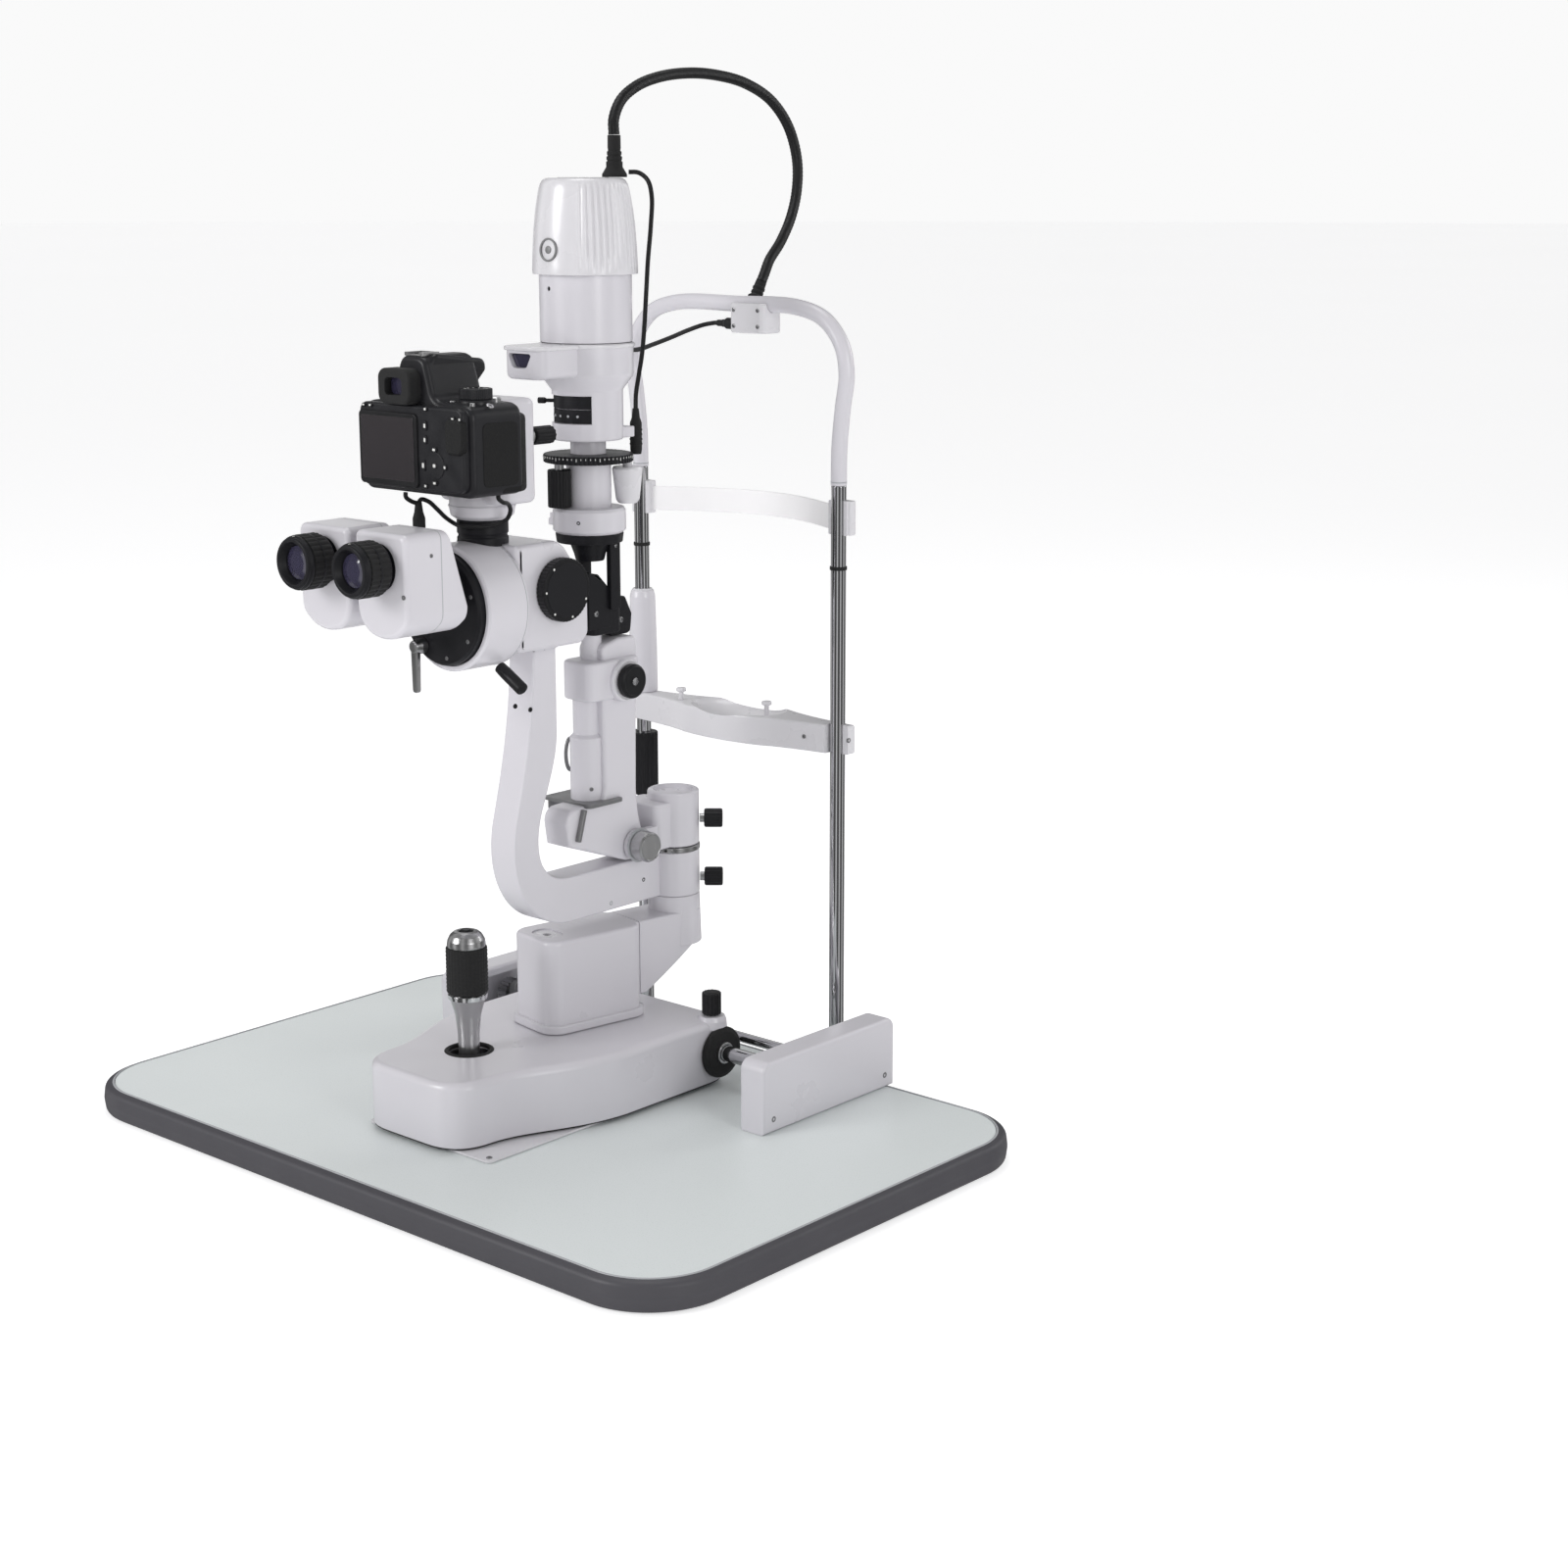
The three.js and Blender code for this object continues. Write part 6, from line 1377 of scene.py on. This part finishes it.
def cap():
    """The lamp's cap: vertical ribs all round but for one smooth panel that faces the examiner."""
    heights = [(43.7, 705.4), (43.9, 708), (43.75, 713), (43.4, 722), (42.7, 734), (41.8, 745), (40.4, 757),
               (38.6, 768), (37.4, 774), (36.2, 778), (34.4, 781), (32, 782.6), (29, 783)]
    sides = 288
    ribs = 48
    panel_middle, panel_half = 270, 35
    rings = []
    under = [(39.3, 712), (39.3, 705.8), (40.2, 705)]
    for r, z in under:
        rings.append([(x, y, z) for x, y in circle(TOWER_X, TOWER_Y, r, sides)])
    for k, (r, z) in enumerate(heights):
        ring = []
        fade = min(1.0, max(0.0, (z - 709) / 6)) * min(1.0, max(0.0, (779 - z) / 4))
        for i in range(sides):
            angle = math.tau * i / sides
            off = abs((math.degrees(angle) - panel_middle + 180) % 360 - 180)
            panel = min(1.0, max(0.0, (off - panel_half) / 2))
            groove = (0.5 - 0.5 * math.cos(ribs * angle)) ** 2
            rr = r - 1.1 * groove * fade * panel - 0.5 * fade * (1 - panel)
            ring.append((TOWER_X + rr * math.cos(angle), TOWER_Y + rr * math.sin(angle), z))
        rings.append(ring)
    shell = skinned(rings)
    piece("cap_shell", shell, "moulded", "lamp_tower", "lamp_cap", corner=40)
    # Black discs laid flat on the cap's top stand for its vent holes: painted shade in place of the dark
    # holes.
    holes = [(x, y, 0) for r, n in ((12, 8), (20, 14)) for x, y in circle(TOWER_X, TOWER_Y, r, n)
             if math.dist((x, y), (5, 98)) > 14]
    vent_shade_discs = [turned([(0, 782.9), (1.8, 782.9), (1.8, 783.2), (0, 783.2)], hole, sides=16) for hole in holes]
    piece("cap_vent_shade_discs", joined(*vent_shade_discs), "black", "lamp_tower")
    a = math.radians(271)
    face = 42.4
    at = Vector((TOWER_X + face * math.cos(a), TOWER_Y + face * math.sin(a), 725.5))
    lean = Vector((math.cos(a), math.sin(a), 0.06))
    ring = turned([(8.0, -0.4), (9.6, -0.4), (9.6, 1.1, 0.4), (8.0, 1.1, 0.4), (8.0, -0.4)], sides=56)
    piece("cap_badge_ring", aimed(ring, at, lean), "grey", "lamp_tower")
    dot = turned([(0, -0.4), (3.2, -0.4), (3.2, 0.9, 0.4), (0, 1.1)], sides=40)
    piece("cap_badge_dot", aimed(dot, at, lean), "grey", "lamp_tower")

    boot = Span("cap_boot")
    ribs_profile = [(0, boot.z0), (10.4, boot.z0, 0.4), (10.4, boot.z0 + 2.4, 1), (6.8, boot.z0 + 8.4, 3)]
    for k in range(3):
        z = boot.z0 + 10 + 4.1 * k
        r = 6.9 - 0.4 * k
        ribs_profile += [(r, z, 0.5), (r, z + 2.5, 0.5), (r - 0.9, z + 3.0), (r - 0.9, z + 3.8)]
    ribs_profile += [(5.5, boot.z0 + 23.5), (5.4, boot.z1, 0.6), (0, boot.z1)]
    piece("cap_gland", turned(ribs_profile, (boot.cx, boot.cy, 0), sides=48), "rubber", "lamp_tower",
          "cap_boot")


# ------------------------------------------------------------------ stage
def floor():
    mesh = bpy.data.meshes.new("floor")
    bm = bmesh.new()
    bmesh.ops.create_circle(bm, cap_ends=True, segments=96, radius=45)
    bm.to_mesh(mesh)
    bm.free()
    thing = bpy.data.objects.new("floor", mesh)
    bpy.context.scene.collection.objects.link(thing)
    ground = surface("pale_floor", (0.80, 0.80, 0.81), 0.7, second=(0.79, 0.79, 0.80), patch=0.4)
    shader = ground.node_tree.nodes["Principled BSDF"]
    shader.inputs["Emission Color"].default_value = (1, 1, 1, 1)
    shader.inputs["Emission Strength"].default_value = 0.58
    mesh.materials.append(ground)
    thing.visible_glossy = False


PANELS = 7


def sky():
    """Plain white to the camera, dimmer overhead as a light, and tall grey panels as a reflection."""
    world = bpy.data.worlds.new("studio")
    bpy.context.scene.world = world
    world.use_nodes = True
    nodes, links = world.node_tree.nodes, world.node_tree.links
    room = nodes["Background"]
    room.inputs["Strength"].default_value = 1
    place = nodes.new("ShaderNodeTexCoord")
    split = nodes.new("ShaderNodeSeparateXYZ")
    links.new(place.outputs["Generated"], split.inputs["Vector"])
    fade = nodes.new("ShaderNodeMapRange")
    fade.inputs["From Max"].default_value = 1
    fade.inputs["To Min"].default_value = 0.62
    fade.inputs["To Max"].default_value = 0.36
    links.new(split.outputs["Z"], fade.inputs["Value"])
    turn = nodes.new("ShaderNodeTexGradient")
    turn.gradient_type = "RADIAL"
    links.new(place.outputs["Generated"], turn.inputs["Vector"])
    wave = nodes.new("ShaderNodeMath")
    wave.operation = "MULTIPLY"
    wave.inputs[1].default_value = math.tau * PANELS
    links.new(turn.outputs["Fac"], wave.inputs[0])
    swing = nodes.new("ShaderNodeMath")
    swing.operation = "SINE"
    links.new(wave.outputs["Value"], swing.inputs[0])
    panel = nodes.new("ShaderNodeMapRange")
    panel.inputs["From Min"].default_value = 0.1
    panel.inputs["From Max"].default_value = 0.9
    panel.inputs["To Min"].default_value = 0.10
    panel.inputs["To Max"].default_value = 0.72
    links.new(swing.outputs["Value"], panel.inputs["Value"])
    seen = nodes.new("ShaderNodeLightPath")
    mirrored = nodes.new("ShaderNodeMix")
    mirrored.data_type = "FLOAT"
    links.new(seen.outputs["Is Glossy Ray"], mirrored.inputs["Factor"])
    links.new(fade.outputs["Result"], mirrored.inputs["A"])
    links.new(panel.outputs["Result"], mirrored.inputs["B"])
    mix = nodes.new("ShaderNodeMix")
    mix.data_type = "FLOAT"
    mix.inputs["B"].default_value = 0.955
    links.new(seen.outputs["Is Camera Ray"], mix.inputs["Factor"])
    links.new(mirrored.outputs["Result"], mix.inputs["A"])
    tint = nodes.new("ShaderNodeCombineColor")
    for channel in ("Red", "Green", "Blue"):
        links.new(mix.outputs["Result"], tint.inputs[channel])
    links.new(tint.outputs["Color"], room.inputs["Color"])


def lights():
    for name, place, size, power in (
        ("key", (-1.3, -3.0, 1.7), 1.6, 46),
        ("fill", (2.9, -0.6, 1.2), 1.4, 17),
        ("top", (-0.3, 0.2, 2.8), 1.2, 14),
        ("rim", (1.2, 2.8, 1.6), 1.2, 12),
    ):
        data = bpy.data.lights.new(name, "AREA")
        data.shape = "DISK"
        data.size = size
        data.energy = power
        light = bpy.data.objects.new(name, data)
        bpy.context.scene.collection.objects.link(light)
        light.location = place
        aim = Vector((0, 0, 0.4)) - Vector(place)
        light.rotation_mode = "QUATERNION"
        light.rotation_quaternion = aim.to_track_quat("-Z", "Y")
    bpy.context.scene.view_settings.view_transform = "Standard"


make_camera()
make_cords()
table()
for rail_side, rail_hand in ((1, "right"), (-1, "left")):
    rail(rail_side, rail_hand)
headrest()
cable_block()
chinrest()
carriage()
base()
joystick()
elevator()
lock_knob("scope_lock_knob", "scope_lock", "scope_lock")
lock_knob("lamp_lock_knob", "lamp_lock", "lamp_lock")
scope_arm()
scope_body()
drum()
prisms()
adapter()
camera()
lamp_arm()
tower()
mirror_head()
slit()
lamp()
cap()
floor()
sky()
lights()
